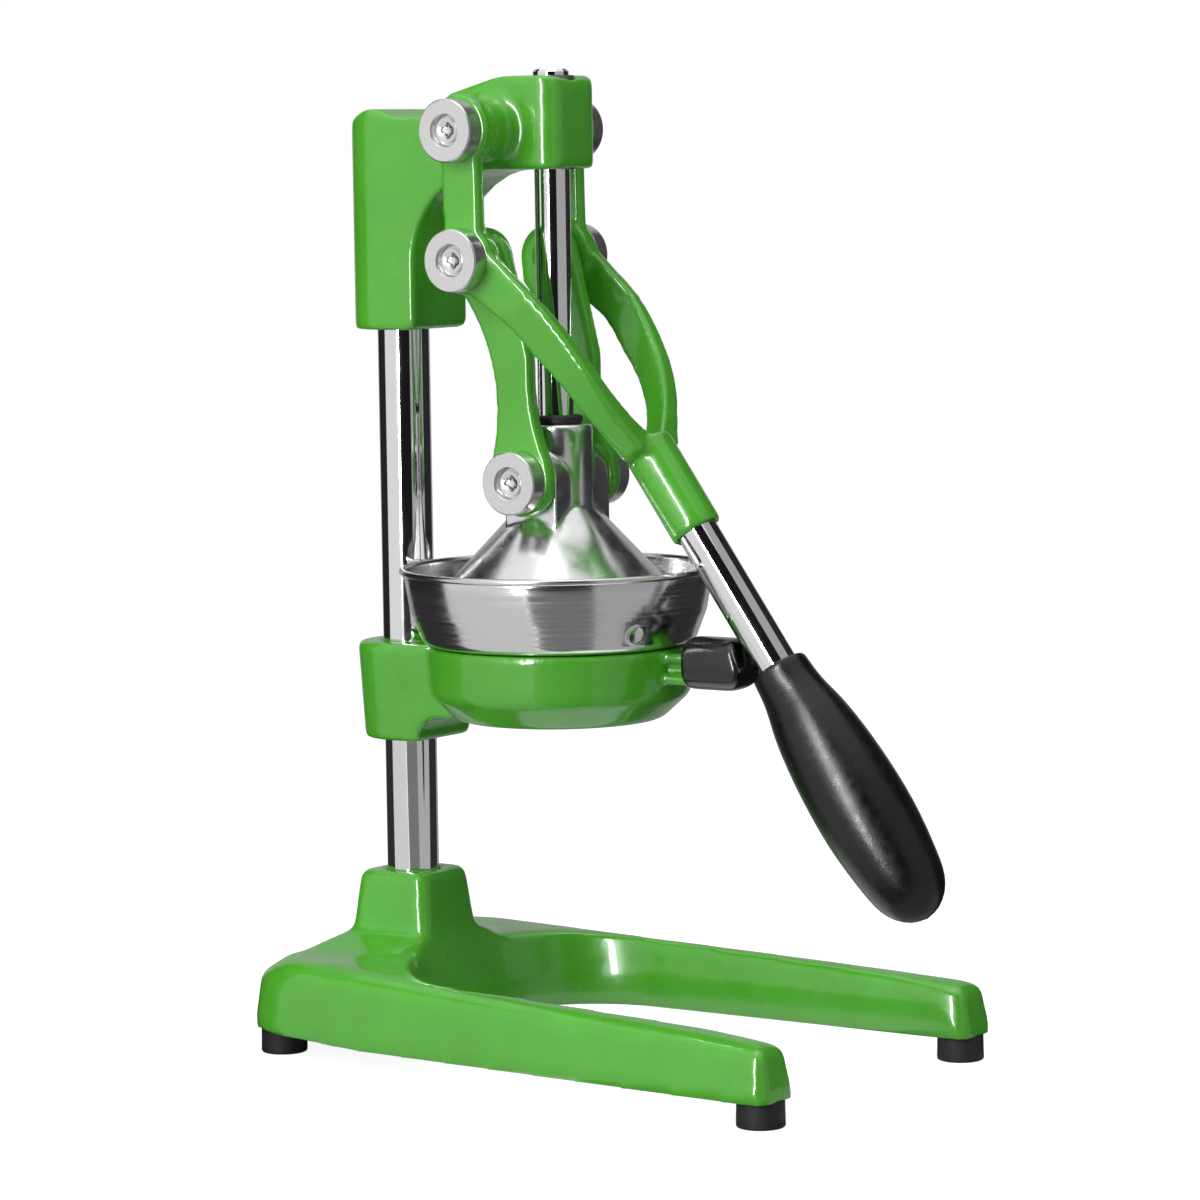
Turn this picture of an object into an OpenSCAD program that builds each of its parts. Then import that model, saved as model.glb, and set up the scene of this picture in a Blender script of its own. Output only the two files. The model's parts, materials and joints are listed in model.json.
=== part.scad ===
// Lever citrus juice press. A cast stand carries a column. The head clamps on the column,
// guides the press rod and holds the forked lever, whose two links pull the press cone down
// into the juice bowl. Millimetres; X points forward to the handle, Y to the left, Z up from
// the table. Inside at_press() the X axis starts at the press axis.

/* [Stand] */
// Height of a rubber foot
foot_h = 10; // [7:0.5:14]
// Radius of a rubber foot
foot_r = 9.2; // [8:0.1:10.5]
// Distance of the rear edge behind the column axis
base_back = 41.8; // [40:0.2:48]
// Distance of the front feet ahead of the column axis
base_reach = 210.7; // [190:0.1:230]
// Half the spacing of the rear corner centres
rear_half = 42; // [38:0.5:48]
// Radius of the rear corners
rear_post_r = 30; // [27:0.5:33]
// Half the spacing of the front feet
front_half = 73.5; // [70:0.5:80]
// Distance of the rear feet behind the column axis
foot_back = 31.2; // [30:0.2:34]
// Half the spacing of the rear feet
foot_half = 46.5; // [44:0.5:50]
// Radius of the front end of a leg
front_post_r = 12.5; // [12:0.1:14]
// Height of the outer edge at the rear corners
rear_h = 32; // [29:0.5:37]
// Height of the outer edge where a leg leaves the deck
shoulder_h = 36; // [31:0.5:38]
// Distance of that place ahead of the rear corner's centre
shoulder_ahead = 7; // [4:0.5:20]
// Height of the outer edge at the front ends
front_h = 27; // [25:0.5:31]
// Rise of the underside to the rear feet
rear_lift = 2.3; // [0.5:0.1:4]
// Height of the crown of a leg over its outer edge
crown_h = 4.5; // [3.5:0.1:6]
// Radius of the upright edges at the front ends
front_corner_r = 6; // [5:0.1:9]
// Wall of the casting round its hollow underside
base_wall = 4.6; // [4.4:0.1:6]
// Depth of the hollow underside
base_hollow = 12; // [8:0.5:13]
// Half the width of the gap between the legs
gap_half = 61; // [57:0.5:63]
// Distance of the gap's rear wall ahead of the column axis
gap_start = 28.2; // [26:0.2:32]
// Radius of the gap's rear corners
gap_corner_r = 45; // [38:0.5:50]
// Lean of the cast sides over their height
side_draft = 3.2; // [2:0.1:4]
// Height of the top of the column seat
pedestal_h = 70.7; // [64:0.1:80]
// Half the width of the column seat at its top
pedestal_half = 16.6; // [15.5:0.1:18]
// Half the width of the column seat at its foot
pedestal_foot_half = 19.2; // [18:0.1:21]
// Height of the foot of the column seat
pedestal_foot_h = 46; // [43:0.5:50]
// Radius of the column seat's upright edges
pedestal_corner_r = 5; // [3:0.5:7]

/* [Column and rod] */
// Distance of the press axis behind the middle of the footprint
press_back = 30; // [25:0.5:35]
// Distance from the press axis back to the column axis
column_back = 73.2; // [73.2:0.1:78]
// Radius of the column
column_r = 10.4; // [9.5:0.1:10.4]
// Height of the column's lower end
column_foot = 30; // [28:0.5:36]
// Radius of the guide rod
rod_r = 7; // [6:0.1:7.6]
// How far the guide rod stands above the head
rod_proud = 2.5; // [1:0.1:5]
// Depth of the guide rod in the press hub
rod_seat = 24; // [18:0.5:26]

/* [Head] */
// Height of the lever pivot above the table
pivot_h = 365.2; // [350:0.2:380]
// Distance of the lever pivot behind the press axis
pivot_back = 18.6; // [17.5:0.1:20]
// Height of the head's top above the lever pivot
hub_above = 20.8; // [19.5:0.1:24]
// Depth of the nose's underside below the lever pivot
hub_below = 15.4; // [15.2:0.1:17]
// Distance of the nose's front face ahead of the press axis
hub_front = 12; // [11.5:0.1:14]
// Half the width of the nose
hub_half = 16.5; // [15:0.1:17.5]
// Radius of the head around the column
sleeve_r = 19.1; // [17.5:0.1:20]
// Distance of the head's front wall ahead of the column axis
sleeve_front = 18.5; // [17:0.1:20]
// Depth of the head's lower end below the lever pivot
sleeve_below = 77.9; // [70:0.1:84]
// Drop of the dip behind the nose below the head's top
dip_drop = 15; // [12:0.5:17]
// Outer radius of the guide bush
bush_r = 9; // [8.6:0.1:9.4]
// Radius of a pivot boss
boss_r = 12; // [10.5:0.1:12.6]
// Radius of a pivot boss at its root
boss_root_r = 15; // [14:0.1:15.2]
// Reach of the boss root from the middle plane
boss_root_out = 18.4; // [17.8:0.1:19]

/* [Linkage] */
// Distance from the lever pivot to the link pin
crank_l = 49.8; // [46:0.1:53]
// Forward lean of the link pin under the lever pivot, in degrees
crank_lean = 1.6; // [-1:0.1:4]
// Distance between the two eyes of a link
link_l = 87.7; // [84:0.1:92]
// Thickness of a link
link_t = 6.6; // [6:0.1:8]
// Radius of a link's upper eye
link_eye_r = 12.6; // [12:0.1:14]
// Radius of a link's lower eye
link_foot_r = 13.7; // [12.5:0.1:14]
// Reach of a link's waist behind the line of its eyes
link_waist = 3.6; // [2.5:0.1:5]
// Reach of a link's belly ahead of the line of its eyes
link_belly = 14.4; // [13:0.1:15]
// Radius of the hollow edges of a link
link_hollow_r = 71; // [66:0.5:80]
// Depth of the hollow ahead of a link's lower eye
link_neck = 3; // [2:0.1:4]
// Radius of the spacer boss on a link's upper eye
link_boss_r = 10; // [9:0.1:11.5]
// Height of the spacer boss on a link's upper eye
link_boss_h = 3; // [2:0.1:3.5]
// Radius of the pivot pins
pin_r = 5; // [4.5:0.1:5.5]
// Radius of a pin cap
cap_r = 12.25; // [11.5:0.05:12.6]
// Thickness of a pin cap
cap_t = 7.4; // [6.5:0.1:8.5]
// Radius of the recess in a pin cap
cap_recess_r = 6.2; // [5.6:0.1:7]
// Depth of the recess in a pin cap
cap_recess = 3.4; // [2.5:0.1:4]
// Radius of a cap screw's head
screw_head_r = 4.7; // [4.3:0.1:5]
// Height of a cap screw's head
screw_head_h = 2.2; // [1.8:0.1:2.4]
// Radius of a cap screw's thread
screw_r = 2.5; // [2.2:0.1:2.8]

/* [Lever] */
// Slope of the handle below the horizontal at rest, in degrees
handle_drop = 54.7; // [53:0.1:56]
// Clearance between the handle tube and the bowl's rim
handle_clear = 4.1; // [2:0.1:6]
// Thickness of a fork arm at its eyes
arm_t = 9; // [8:0.1:10.5]
// Radius of the fork's eye at the lever pivot
arm_eye_r = 14; // [13:0.1:15]
// Radius of the fork's eye at the link pin
arm_low_eye_r = 13.5; // [12.6:0.1:14]
// Depth by which the inner face of a fork arm lies behind the faces of its eyes
arm_relief = 2.2; // [1:0.1:3]
// Depth by which the outer face of a fork arm lies behind the faces of its eyes
eye_proud = 0.4; // [0.2:0.1:0.8]
// Width of a fork arm between its two eyes
arm_w = 16.8; // [15:0.1:18]
// Width of the fork below the link pin
fork_w = 16.6; // [15:0.1:18]
// Forward bow of the fork below the link pin
fork_bow = 5; // [4:0.1:6]
// Distance from the link pin to the crotch of the fork
fork_l = 93; // [88:0.2:98]
// Distance from the link pin to the mouth of the tube socket
socket_end = 133.6; // [128:0.2:142]
// Length of the tube socket
socket_l = 41; // [38:0.5:46]
// Radius of the tube socket
socket_r = 10.2; // [9.8:0.1:11]
// Radius of the handle tube
tube_r = 8; // [7:0.1:8.6]
// Depth of the tube in its socket
tube_seat = 32; // [24:0.5:36]
// Length of the tube between its socket and the grip
tube_free = 61.6; // [56:0.2:68]
// Length of the grip
grip_l = 112.4; // [104:0.2:124]
// Greatest radius of the grip
grip_r = 18.5; // [16.5:0.1:20]

/* [Press cone] */
// Half the width of the press ears, over both
ear_half = 18.8; // [17:0.1:19.5]
// Radius of an ear round its pin
ear_r = 12.15; // [11.5:0.05:13]
// Radius of the hub
hub_r = 14.4; // [13.8:0.1:15.5]
// Height of the hub's top above its pins
hub_up = 21.6; // [18:0.1:26]
// Depth of the hub's foot below its pins
hub_down = 10.1; // [8:0.1:11]
// Radius of the cone's foot
cone_r = 48; // [44:0.2:50]
// Height of the cone
cone_h = 35.6; // [33:0.1:38]
// Height of the skirt under the cone
skirt_h = 10; // [7:0.2:11]
// Wall of the press cone
cone_wall = 4; // [3.2:0.1:4.6]

/* [Bowl and strainer] */
// Depth of the bowl's rim below the press pins
rim_below = 35.4; // [33:0.1:38]
// Radius of the bowl at its rim
bowl_r = 61.1; // [58:0.1:61.1]
// Radius of the bowl's rolled edge
bead_r = 1.3; // [1.2:0.05:1.3]
// Radius of the bowl at its knuckle
bowl_mid_r = 58.2; // [56:0.1:59]
// Radius of the bowl's floor edge
bowl_floor_r = 54.8; // [54:0.1:56]
// Depth of the bowl from rim to seat
bowl_depth = 29.2; // [27:0.1:32]
// Wall of the bowl
bowl_wall = 1.2; // [0.9:0.1:1.6]
// Radius of the bowl's spout
spout_r = 12; // [10:0.1:12.8]
// Radius of the reamer's foot
reamer_r = 36; // [33:0.2:38]
// Height of the reamer
reamer_h = 34; // [30:0.2:36]
// Number of ribs on the reamer
reamer_ribs = 8; // [6:1:10]
// Number of holes in one ring of the strainer
strainer_holes = 24; // [16:1:30]
// Radius of a strainer hole
strainer_hole_r = 1.7; // [1.4:0.1:2]

/* [Holder] */
// Radius of the dish at its top
dish_r = 53; // [52:0.1:56]
// Radius of the dish at its bottom
dish_foot_r = 43.6; // [41:0.1:46]
// Height of the dish
dish_h = 29.8; // [27:0.1:33]
// Wall of the dish
dish_wall = 5; // [4:0.1:6]
// Radius of the hole in the dish
outlet_r = 14; // [13.4:0.1:16]
// Height of the clamp round the column
clamp_h = 39.3; // [36:0.1:46]
// Radius of the clamp round the column
clamp_r = 20.4; // [19:0.1:22]
// Lean of the clamp's sides over its height
clamp_draft = 2.3; // [1:0.1:2.6]
// Half the width of the clamp's front
clamp_half = 17.4; // [16:0.1:19]
// Distance of the clamp's front face ahead of the column axis
clamp_front = 16.6; // [15:0.1:18]
// Half the width of the stop arm
arm_half = 6.5; // [5.5:0.1:7]
// Height of the stop arm
stop_h = 12.4; // [11:0.1:13]
// Half the width of the rubber stop
stop_half = 10; // [9.4:0.1:11]
// Height of the rubber stop
stop_cover_h = 20.4; // [19:0.1:22]
// Distance of the rubber stop's rear edge ahead of the press axis
stop_back = 62.4; // [60:0.2:65]

/* [Hidden] */
$fn = 96;
// Segments of a form that is blended between posts
blend_fn = 32;
// Steps of a rounded corner and of a smooth stretch
corner_steps = 8;
smooth_steps = 4;
// How far a cut runs past a face
over = 1;
// Radial play of a running fit, and of a piece pushed on another
run_gap = 0.05;
fit_gap = 0.05;
// Play between faces that slide past each other
side_gap = 0.3;
// Play between an arm and the cap that holds it
cap_gap = 0.2;

// Places that follow from the sizes
column_x = -column_back;
pivot_x = -pivot_back;
hub_top = pivot_h + hub_above;
hub_bottom = pivot_h - hub_below;
link_in = ear_half + side_gap;
link_out = link_in + link_t;
arm_in = link_out + link_boss_h + side_gap;
arm_out = arm_in + arm_t;
// The link pin under the lever pivot
pin_x = pivot_x + crank_l * sin(crank_lean);
pin_z = pivot_h - crank_l * cos(crank_lean);
// The press pin on the press axis
press_z = pin_z - sqrt(link_l * link_l - pin_x * pin_x);
link_lean = asin(-pin_x / link_l);
press_hub_top = press_z + hub_up;
cone_top = press_z - hub_down;
cone_foot = cone_top - cone_h;
cone_slope = cone_h / (cone_r - hub_r);
skirt_foot = cone_foot - skirt_h;
rim_z = press_z - rim_below;
dish_top = rim_z - bowl_depth;
dish_bottom = dish_top - dish_h;
// The stop arm lies this far below the dish's edge, and its rubber stands this far over it
stop_low = 1;
stop_cover_over = 6.6;
stop_top = dish_top - stop_low;
stop_cover_top = stop_top + stop_cover_over;
// Least length of the rubber stop at its top
stop_least = 20;

// The lever is drawn from its link pin: u runs along the handle, n square to it
handle_dir = [cos(handle_drop), -sin(handle_drop)];
handle_nrm = [sin(handle_drop), cos(handle_drop)];
rim_from_pin = [bowl_r + bead_r - pin_x, rim_z - pin_z];
stop_top_from_pin = [stop_back + stop_least - pin_x, stop_cover_top - pin_z];
axis_n = tube_r + max(rim_from_pin * handle_nrm + handle_clear,
  stop_top_from_pin * handle_nrm + side_gap);
crank_dir = [-sin(crank_lean), cos(crank_lean)];
pivot_u = crank_l * (crank_dir * handle_dir);
pivot_n = crank_l * (crank_dir * handle_nrm);

// Corners and curves
// Arc that rounds the corner p between a and b with radius r
function corner_arc(a, p, b, r) =
  let(
    u = (a - p) / norm(a - p),
    v = (b - p) / norm(b - p),
    turn = 180 - acos(max(-1, min(1, u * v))),
    cut = r * tan(turn / 2),
    mid = p + (u + v) / norm(u + v) * r / cos(turn / 2),
    s = p + u * cut - mid,
    e = p + v * cut - mid
  )
  [for (k = [0:corner_steps])
    let(f = k / corner_steps)
    mid + (s * sin((1 - f) * turn) + e * sin(f * turn)) / sin(turn)];
// Arc round mid with radius r from one angle to another
function arc_at(mid, r, from, to, steps) =
  [for (k = [0:steps]) let(a = from + (to - from) * k / steps) mid + r * [cos(a), sin(a)]];
// Outline through the corners [x, y, radius]
function rounded(c) =
  let(n = len(c), xy = [for (q = c) [q[0], q[1]]])
  [for (i = [0:n - 1]) each
    c[i][2] > 0 ? corner_arc(xy[(i + n - 1) % n], xy[i], xy[(i + 1) % n], c[i][2]) : [xy[i]]];
// One point of a smooth curve between b and c
function spline_at(a, b, c, d, t) =
  (2 * b + (c - a) * t + (2 * a - 5 * b + 4 * c - d) * t * t
    + (3 * b - a - 3 * c + d) * t * t * t) / 2;
// Smooth curve through the points p
function smooth(p) =
  let(n = len(p))
  [for (i = [0:n - 2], k = [0:smooth_steps - (i < n - 2 ? 1 : 0)])
    spline_at(p[max(0, i - 1)], p[i], p[i + 1], p[min(n - 1, i + 2)], k / smooth_steps)];
function reversed(p) = [for (i = [len(p) - 1:-1:0]) p[i]];
function mirrored(p) = [for (q = reversed(p)) [q[0], -q[1]]];

// Places and directions
module at_press() { translate([-press_back, 0, 0]) children(); }
// Draws a side outline in X and Z, half the width to each side of the middle plane
module side_plate(half) {
  rotate([90, 0, 0]) linear_extrude(2 * half, center = true) children();
}
// Cylinder across the part, from y to y + h
module cross_cyl(x, z, y, h, r) {
  translate([x, y, z]) rotate([-90, 0, 0]) cylinder(h = h, r = r);
}
// The same cylinder on both sides, from near to far
module cross_pair(x, z, near, far, r) {
  cross_cyl(x, z, near, far - near, r);
  cross_cyl(x, z, -far, far - near, r);
}
module at_lever() {
  at_press() translate([pin_x, 0, pin_z]) rotate([0, handle_drop, 0]) children();
}
// Turns children from Z to the handle's axis, with its zero at the link pin
module along_handle() {
  at_lever() translate([0, 0, axis_n]) rotate([0, 90, 0]) children();
}

// Stand
front_x = column_x + base_reach;
rear_x = column_x - base_back + rear_post_r;
gap_x = column_x + gap_start;
// Where the crown of a leg bends, and how much it stands above a straight line
leg_bend_share = 0.76;
leg_rise = 1;
// Rounding of the upper edges: height, width, and the place of its middle as shares of both
edge_drop = 2.4;
edge_in = 2.2;
edge_mid_share = [0.32, 0.62];
crown_in = 5.5;
foot_x = [column_x - foot_back, front_x];
foot_y = [foot_half, front_half];
foot_lift = [rear_lift, 0];
foot_screw_r = 2;
foot_screw_depth = 12;
foot_recess = 4;
foot_recess_r = 4.8;
foot_screw_head_r = 4.2;
foot_screw_head_h = 2.6;
foot_edge = 0.8;
bolt_r = 5;
bolt_head_r = 8.6;
bolt_head_h = 7;
washer_r = 11;
washer_t = 2;
bolt_recess_r = 13;
bolt_recess = 14;
bolt_reach = 24;

// A drafted post with a crowned top, from the underside of the stand up
module post(x, y, r, top, crown, inset) {
  upper = r - side_draft;
  rise = top - foot_h;
  translate([x, y, foot_h]) rotate_extrude($fn = blend_fn) polygon([[0, 0], [r, 0], [upper, rise],
    [upper - edge_in * edge_mid_share[0], rise + edge_drop * edge_mid_share[1]],
    [upper - edge_in, rise + edge_drop], [upper - inset, rise + crown], [0, rise + crown]]);
}
leg_bend_x = rear_x + (front_x - rear_x) * leg_bend_share;
leg_bend_h = rear_h + (front_h - rear_h) * leg_bend_share + leg_rise;
leg_bend_r = front_post_r - side_draft;
shoulder_share = shoulder_ahead / (front_x - rear_x);
shoulder_y = (rear_half + rear_post_r) * (1 - shoulder_share)
  + (front_half + front_post_r) * shoulder_share - rear_post_r;
leg_bend_y = (rear_half + rear_post_r) * (1 - leg_bend_share)
  + (front_half + front_post_r) * leg_bend_share - leg_bend_r;
// The two upright edges of a front end lie this far beside and ahead of the foot
end_side = front_post_r - front_corner_r;
end_ahead = end_side / 2;
module leg() {
  hull() {
    post(rear_x, rear_half, rear_post_r, rear_h, edge_drop, edge_in);
    post(rear_x + shoulder_ahead, shoulder_y, rear_post_r, shoulder_h, crown_h, crown_in);
    post(leg_bend_x, leg_bend_y, leg_bend_r, leg_bend_h, crown_h, crown_in);
    for (side = [-1, 1])
      post(front_x + end_ahead, front_half + side * end_side, front_corner_r, front_h, edge_drop,
        edge_in);
    post(front_x, front_half, front_post_r - side_draft, front_h, crown_h, crown_in);
  }
}
// Rounding of the column seat's top edge
pedestal_edge = 1.8;
pedestal_low_half = pedestal_half
  + (pedestal_foot_half - pedestal_half) * (pedestal_h - foot_h) / (pedestal_h - pedestal_foot_h);
// Thickness of the slabs that a blended form is drawn from
slab = 0.1;
deck_front = 8;
module rounded_square(half, r) {
  for (a = [0, 90]) rotate(a) square([2 * half, 2 * (half - r)], center = true);
  for (x = [-1, 1], y = [-1, 1]) translate([x, y] * (half - r)) circle(r);
}
// Rear deck, rising like a hipped roof to the foot of the column seat
module deck() {
  hull() {
    for (side = [-1, 1]) {
      post(rear_x, side * rear_half, rear_post_r, rear_h, edge_drop, edge_in);
      post(gap_x + deck_front - rear_post_r, side * rear_half / 2, rear_post_r, rear_h, crown_h,
        crown_in);
    }
    translate([column_x, 0, pedestal_foot_h - edge_drop])
      linear_extrude(edge_drop) square(2 * pedestal_foot_half, center = true);
  }
}
module pedestal() {
  heights = [foot_h, pedestal_h - pedestal_edge, pedestal_h - slab];
  halves = [pedestal_low_half, pedestal_half, pedestal_half - pedestal_edge];
  translate([column_x, 0, 0]) hull() for (i = [0:2])
    translate([0, 0, heights[i]]) linear_extrude(slab)
      rounded_square(halves[i], pedestal_corner_r, $fn = blend_fn);
}
// Cutter for the gap: discs at the rear and at the open front, widened by low at the bottom and
// by high at the top, which also goes back by rear_lean
module gap_cut(bottom_rear, bottom_front, height, low, high, rear_lean) {
  side = gap_half - gap_corner_r;
  hull() for (s = [-1, 1], k = [0, 1]) {
    translate([gap_x + gap_corner_r - k * rear_lean, s * side, bottom_rear + k * height])
      cylinder(h = slab, r = gap_corner_r + (k == 0 ? low : high), $fn = 2 * blend_fn);
    translate([front_x + 2 * front_post_r, s * side, bottom_front + k * height])
      cylinder(h = slab, r = gap_corner_r + (k == 0 ? low : high), $fn = 2 * blend_fn);
  }
}
// The gap's wall leans back to the foot of the column seat
gap_edge_low = 24;
gap_edge_lean = 5;
gap_rear_lean = gap_start - pedestal_foot_half - gap_edge_lean;
// The rise of the underside begins and ends at these distances from the column axis
lift_start = 25;
lift_end = foot_back - foot_r - 1;
rib_t = 3;
rib_share = [0.3, 0.52, 0.74];
// Cutter under the rear of the stand, whose underside rises to the rear feet
module underside_cut() {
  side_plate(2 * rear_half + rear_post_r) polygon([[column_x + lift_start, foot_h - over],
    [column_x + lift_start, foot_h], [column_x - lift_end, foot_h + rear_lift],
    [column_x - base_back - over, foot_h + rear_lift], [column_x - base_back - over, foot_h - over]]);
}
// Outline of one half of the hollow underside, from the rear round to the gap
hollow_half = [[column_x - base_back + base_wall, 0, 0],
  [column_x - base_back + base_wall, rear_half + rear_post_r - base_wall, rear_post_r - base_wall],
  [front_x - foot_r + over, front_half + front_post_r - base_wall, 0],
  [front_x - foot_r + over, gap_half + base_wall, 0],
  [gap_x - base_wall, gap_half + base_wall, gap_corner_r + base_wall],
  [gap_x - base_wall, 0, 0]];
module hollow() {
  half_line = rounded(hollow_half);
  linear_extrude(foot_h + base_hollow) difference() {
    polygon(concat(half_line, mirrored(half_line)));
    for (i = [0, 1], side = [-1, 1]) translate([foot_x[i], side * foot_y[i]]) circle(foot_r);
    translate([column_x, 0]) circle(bolt_recess_r + base_wall);
    for (q = rib_share)
      translate([rear_x + q * (front_x - rear_x), 0]) square([rib_t, 3 * front_half], center = true);
    translate([column_x, 0]) square([2 * base_back, rib_t], center = true);
  }
}
module base() {
  color("limegreen") at_press() difference() {
    union() {
      difference() {
        union() {
          leg();
          mirror([0, 1, 0]) leg();
          deck();
        }
        gap_cut(foot_h - over, foot_h - over, pedestal_foot_h - foot_h + 2 * over, 0, side_draft, 0);
        gap_cut(gap_edge_low, front_h - edge_drop, pedestal_foot_h - gap_edge_low, side_draft / 2,
          gap_edge_lean, gap_rear_lean);
      }
      pedestal();
    }
    underside_cut();
    hollow();
    translate([column_x, 0, column_foot]) cylinder(h = pedestal_h, r = column_r + fit_gap);
    translate([column_x, 0, foot_h - over]) cylinder(h = bolt_recess + over, r = bolt_recess_r);
    translate([column_x, 0, foot_h]) cylinder(h = column_foot, r = bolt_r + fit_gap);
    for (i = [0, 1], side = [-1, 1])
      translate([foot_x[i], side * foot_y[i], foot_h - over])
        cylinder(h = foot_lift[i] + foot_screw_depth + 2 * over, r = foot_screw_r + fit_gap);
  }
}
module rubber_foot(i, side) {
  top = foot_h + foot_lift[i];
  color("#1c1c1c") at_press() translate([foot_x[i], side * foot_y[i], 0]) difference() {
    rotate_extrude() polygon([[0, 0], [foot_r - foot_edge, 0], [foot_r, foot_edge],
      [foot_r, top], [0, top]]);
    translate([0, 0, -over]) cylinder(h = foot_recess + over, r = foot_recess_r);
    translate([0, 0, -over]) cylinder(h = top + 2 * over, r = foot_screw_r + fit_gap);
  }
}
module foot_screws() {
  color("silver") at_press() for (i = [0, 1], side = [-1, 1])
    translate([foot_x[i], side * foot_y[i], foot_recess]) {
      translate([0, 0, -foot_screw_head_h]) cylinder(h = foot_screw_head_h, r = foot_screw_head_r);
      cylinder(h = foot_h + foot_lift[i] - foot_recess + foot_screw_depth, r = foot_screw_r);
    }
}
module column_bolt() {
  washer_z = foot_h + bolt_recess - washer_t;
  color("silver") at_press() translate([column_x, 0, washer_z]) {
    translate([0, 0, -bolt_head_h]) cylinder(h = bolt_head_h, r = bolt_head_r, $fn = 6);
    cylinder(h = washer_t + column_foot - foot_h - bolt_recess + bolt_reach, r = bolt_r);
  }
}
module column_washer() {
  color("silver") at_press() translate([column_x, 0, foot_h + bolt_recess - washer_t])
    difference() {
      cylinder(h = washer_t, r = washer_r);
      translate([0, 0, -over]) cylinder(h = washer_t + 2 * over, r = bolt_r + fit_gap);
    }
}

// Column
column_chamfer = 1;
// Wall of the head over the column's upper end
column_cover = 10;
column_top = hub_top - dip_drop - column_cover;
module column() {
  color("silver") at_press() translate([column_x, 0, column_foot]) difference() {
    rotate_extrude() polygon([[0, 0], [column_r - column_chamfer, 0],
      [column_r, column_chamfer], [column_r, column_top - column_foot - column_chamfer],
      [column_r - column_chamfer, column_top - column_foot], [0, column_top - column_foot]]);
    translate([0, 0, -over]) cylinder(h = bolt_reach + 2 * over, r = bolt_r + fit_gap);
  }
}

// Head
nose_edge_r = 6;
nose_corner_r = 8.5;
head_edge = 3;
// Top line behind the nose: how far back along the column distance, drop below the nose
// along the dip, and radius along the dip
head_top_share = [[0.19, 0, 2], [0.5, 0.42, 0.5], [0.62, 0.98, 0.4], [0.884, 1, 1],
  [1.01, 0.7, 0.9], [1.2, 1.05, 0.4]];
set_screw_r = 3;
set_screw_l = 8;
set_screw_socket_r = 1.8;
set_screw_socket = 3;
head_set_rise = [15, 50];
module head_side() {
  polygon(rounded(concat(
    [[column_x - sleeve_r - 2 * head_edge, pivot_h - sleeve_below, 0],
      [column_x + sleeve_front, pivot_h - sleeve_below, head_edge],
      [column_x + sleeve_front, hub_bottom, column_back - pivot_back - sleeve_front],
      [hub_front, hub_bottom, head_edge],
      [hub_front, hub_top, nose_edge_r]],
    [for (q = head_top_share) [-q[0] * column_back, hub_top - q[1] * dip_drop, q[2] * dip_drop]],
    [[column_x - sleeve_r - 2 * head_edge, hub_top - 2 * dip_drop, 0]])));
}
module head_plan() {
  translate([column_x, 0]) circle(sleeve_r);
  polygon(rounded([[column_x, -sleeve_r, 0], [hub_front, -hub_half, nose_corner_r],
    [hub_front, hub_half, nose_corner_r], [column_x, sleeve_r, 0]]));
}
// Screw holes at the back of a sleeve round the column
module set_screw_holes(rises, back_r) {
  for (z = rises)
    translate([column_x - back_r - over, 0, z]) rotate([0, 90, 0])
      cylinder(h = back_r + over, r = set_screw_r + fit_gap);
}
module set_screws(rises) {
  for (z = rises)
    translate([column_x - column_r - fit_gap - set_screw_l, 0, z]) rotate([0, 90, 0])
      difference() {
        cylinder(h = set_screw_l, r = set_screw_r);
        translate([0, 0, -over]) cylinder(h = set_screw_socket + over, r = set_screw_socket_r, $fn = 6);
      }
}
head_set_z = [for (rise = head_set_rise) pivot_h - sleeve_below + rise];
// Profile of a pivot boss, which flares into the side of the nose
boss_flare_r = boss_root_r - boss_r;
module boss_profile() {
  polygon(concat([[0, 0], [boss_root_r, 0]],
    [for (k = [0:corner_steps]) let(a = 90 * k / corner_steps)
      [boss_root_r - boss_flare_r * sin(a), boss_root_out - boss_flare_r * cos(a) + boss_flare_r]],
    [[boss_r, arm_in - side_gap], [0, arm_in - side_gap]]));
}
module head() {
  color("limegreen") at_press() difference() {
    union() {
      intersection() {
        side_plate(2 * sleeve_r) head_side();
        linear_extrude(hub_top + over) head_plan();
      }
      for (side = [-1, 1])
        translate([pivot_x, 0, pivot_h]) rotate([-side * 90, 0, 0]) rotate_extrude() boss_profile();
    }
    translate([column_x, 0, 0]) cylinder(h = column_top, r = column_r + fit_gap);
    translate([0, 0, hub_bottom - over])
      cylinder(h = hub_top - hub_bottom + 2 * over, r = bush_r + fit_gap);
    cross_cyl(pivot_x, pivot_h, -arm_out, 2 * arm_out, pin_r + fit_gap);
    set_screw_holes(head_set_z, sleeve_r);
  }
}
bush_chamfer = 0.5;
module guide_bush() {
  h = hub_top - hub_bottom;
  color("#8a8a86") at_press() translate([0, 0, hub_bottom])
    rotate_extrude() polygon([[rod_r + run_gap, bush_chamfer], [rod_r + run_gap + bush_chamfer, 0],
      [bush_r, 0], [bush_r, h], [rod_r + run_gap + bush_chamfer, h],
      [rod_r + run_gap, h - bush_chamfer]]);
}
module head_set_screws() { color("#303030") at_press() set_screws(head_set_z); }

// Pins, caps and screws
axle_out = arm_out + cap_gap;
press_cap_in = link_out + cap_gap;
cap_edge = 0.6;
screw_reach = 9;
hex_r = 2.3;
hex_depth = 1.4;
// A cap with its recess outwards, its inner face at zero, pointing along Z
module cap() {
  rotate_extrude() polygon([[screw_r + fit_gap, 0], [cap_r, 0], [cap_r, cap_t - cap_edge],
    [cap_r - cap_edge, cap_t], [cap_recess_r, cap_t], [cap_recess_r, cap_t - cap_recess],
    [screw_r + fit_gap, cap_t - cap_recess]]);
}
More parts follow.
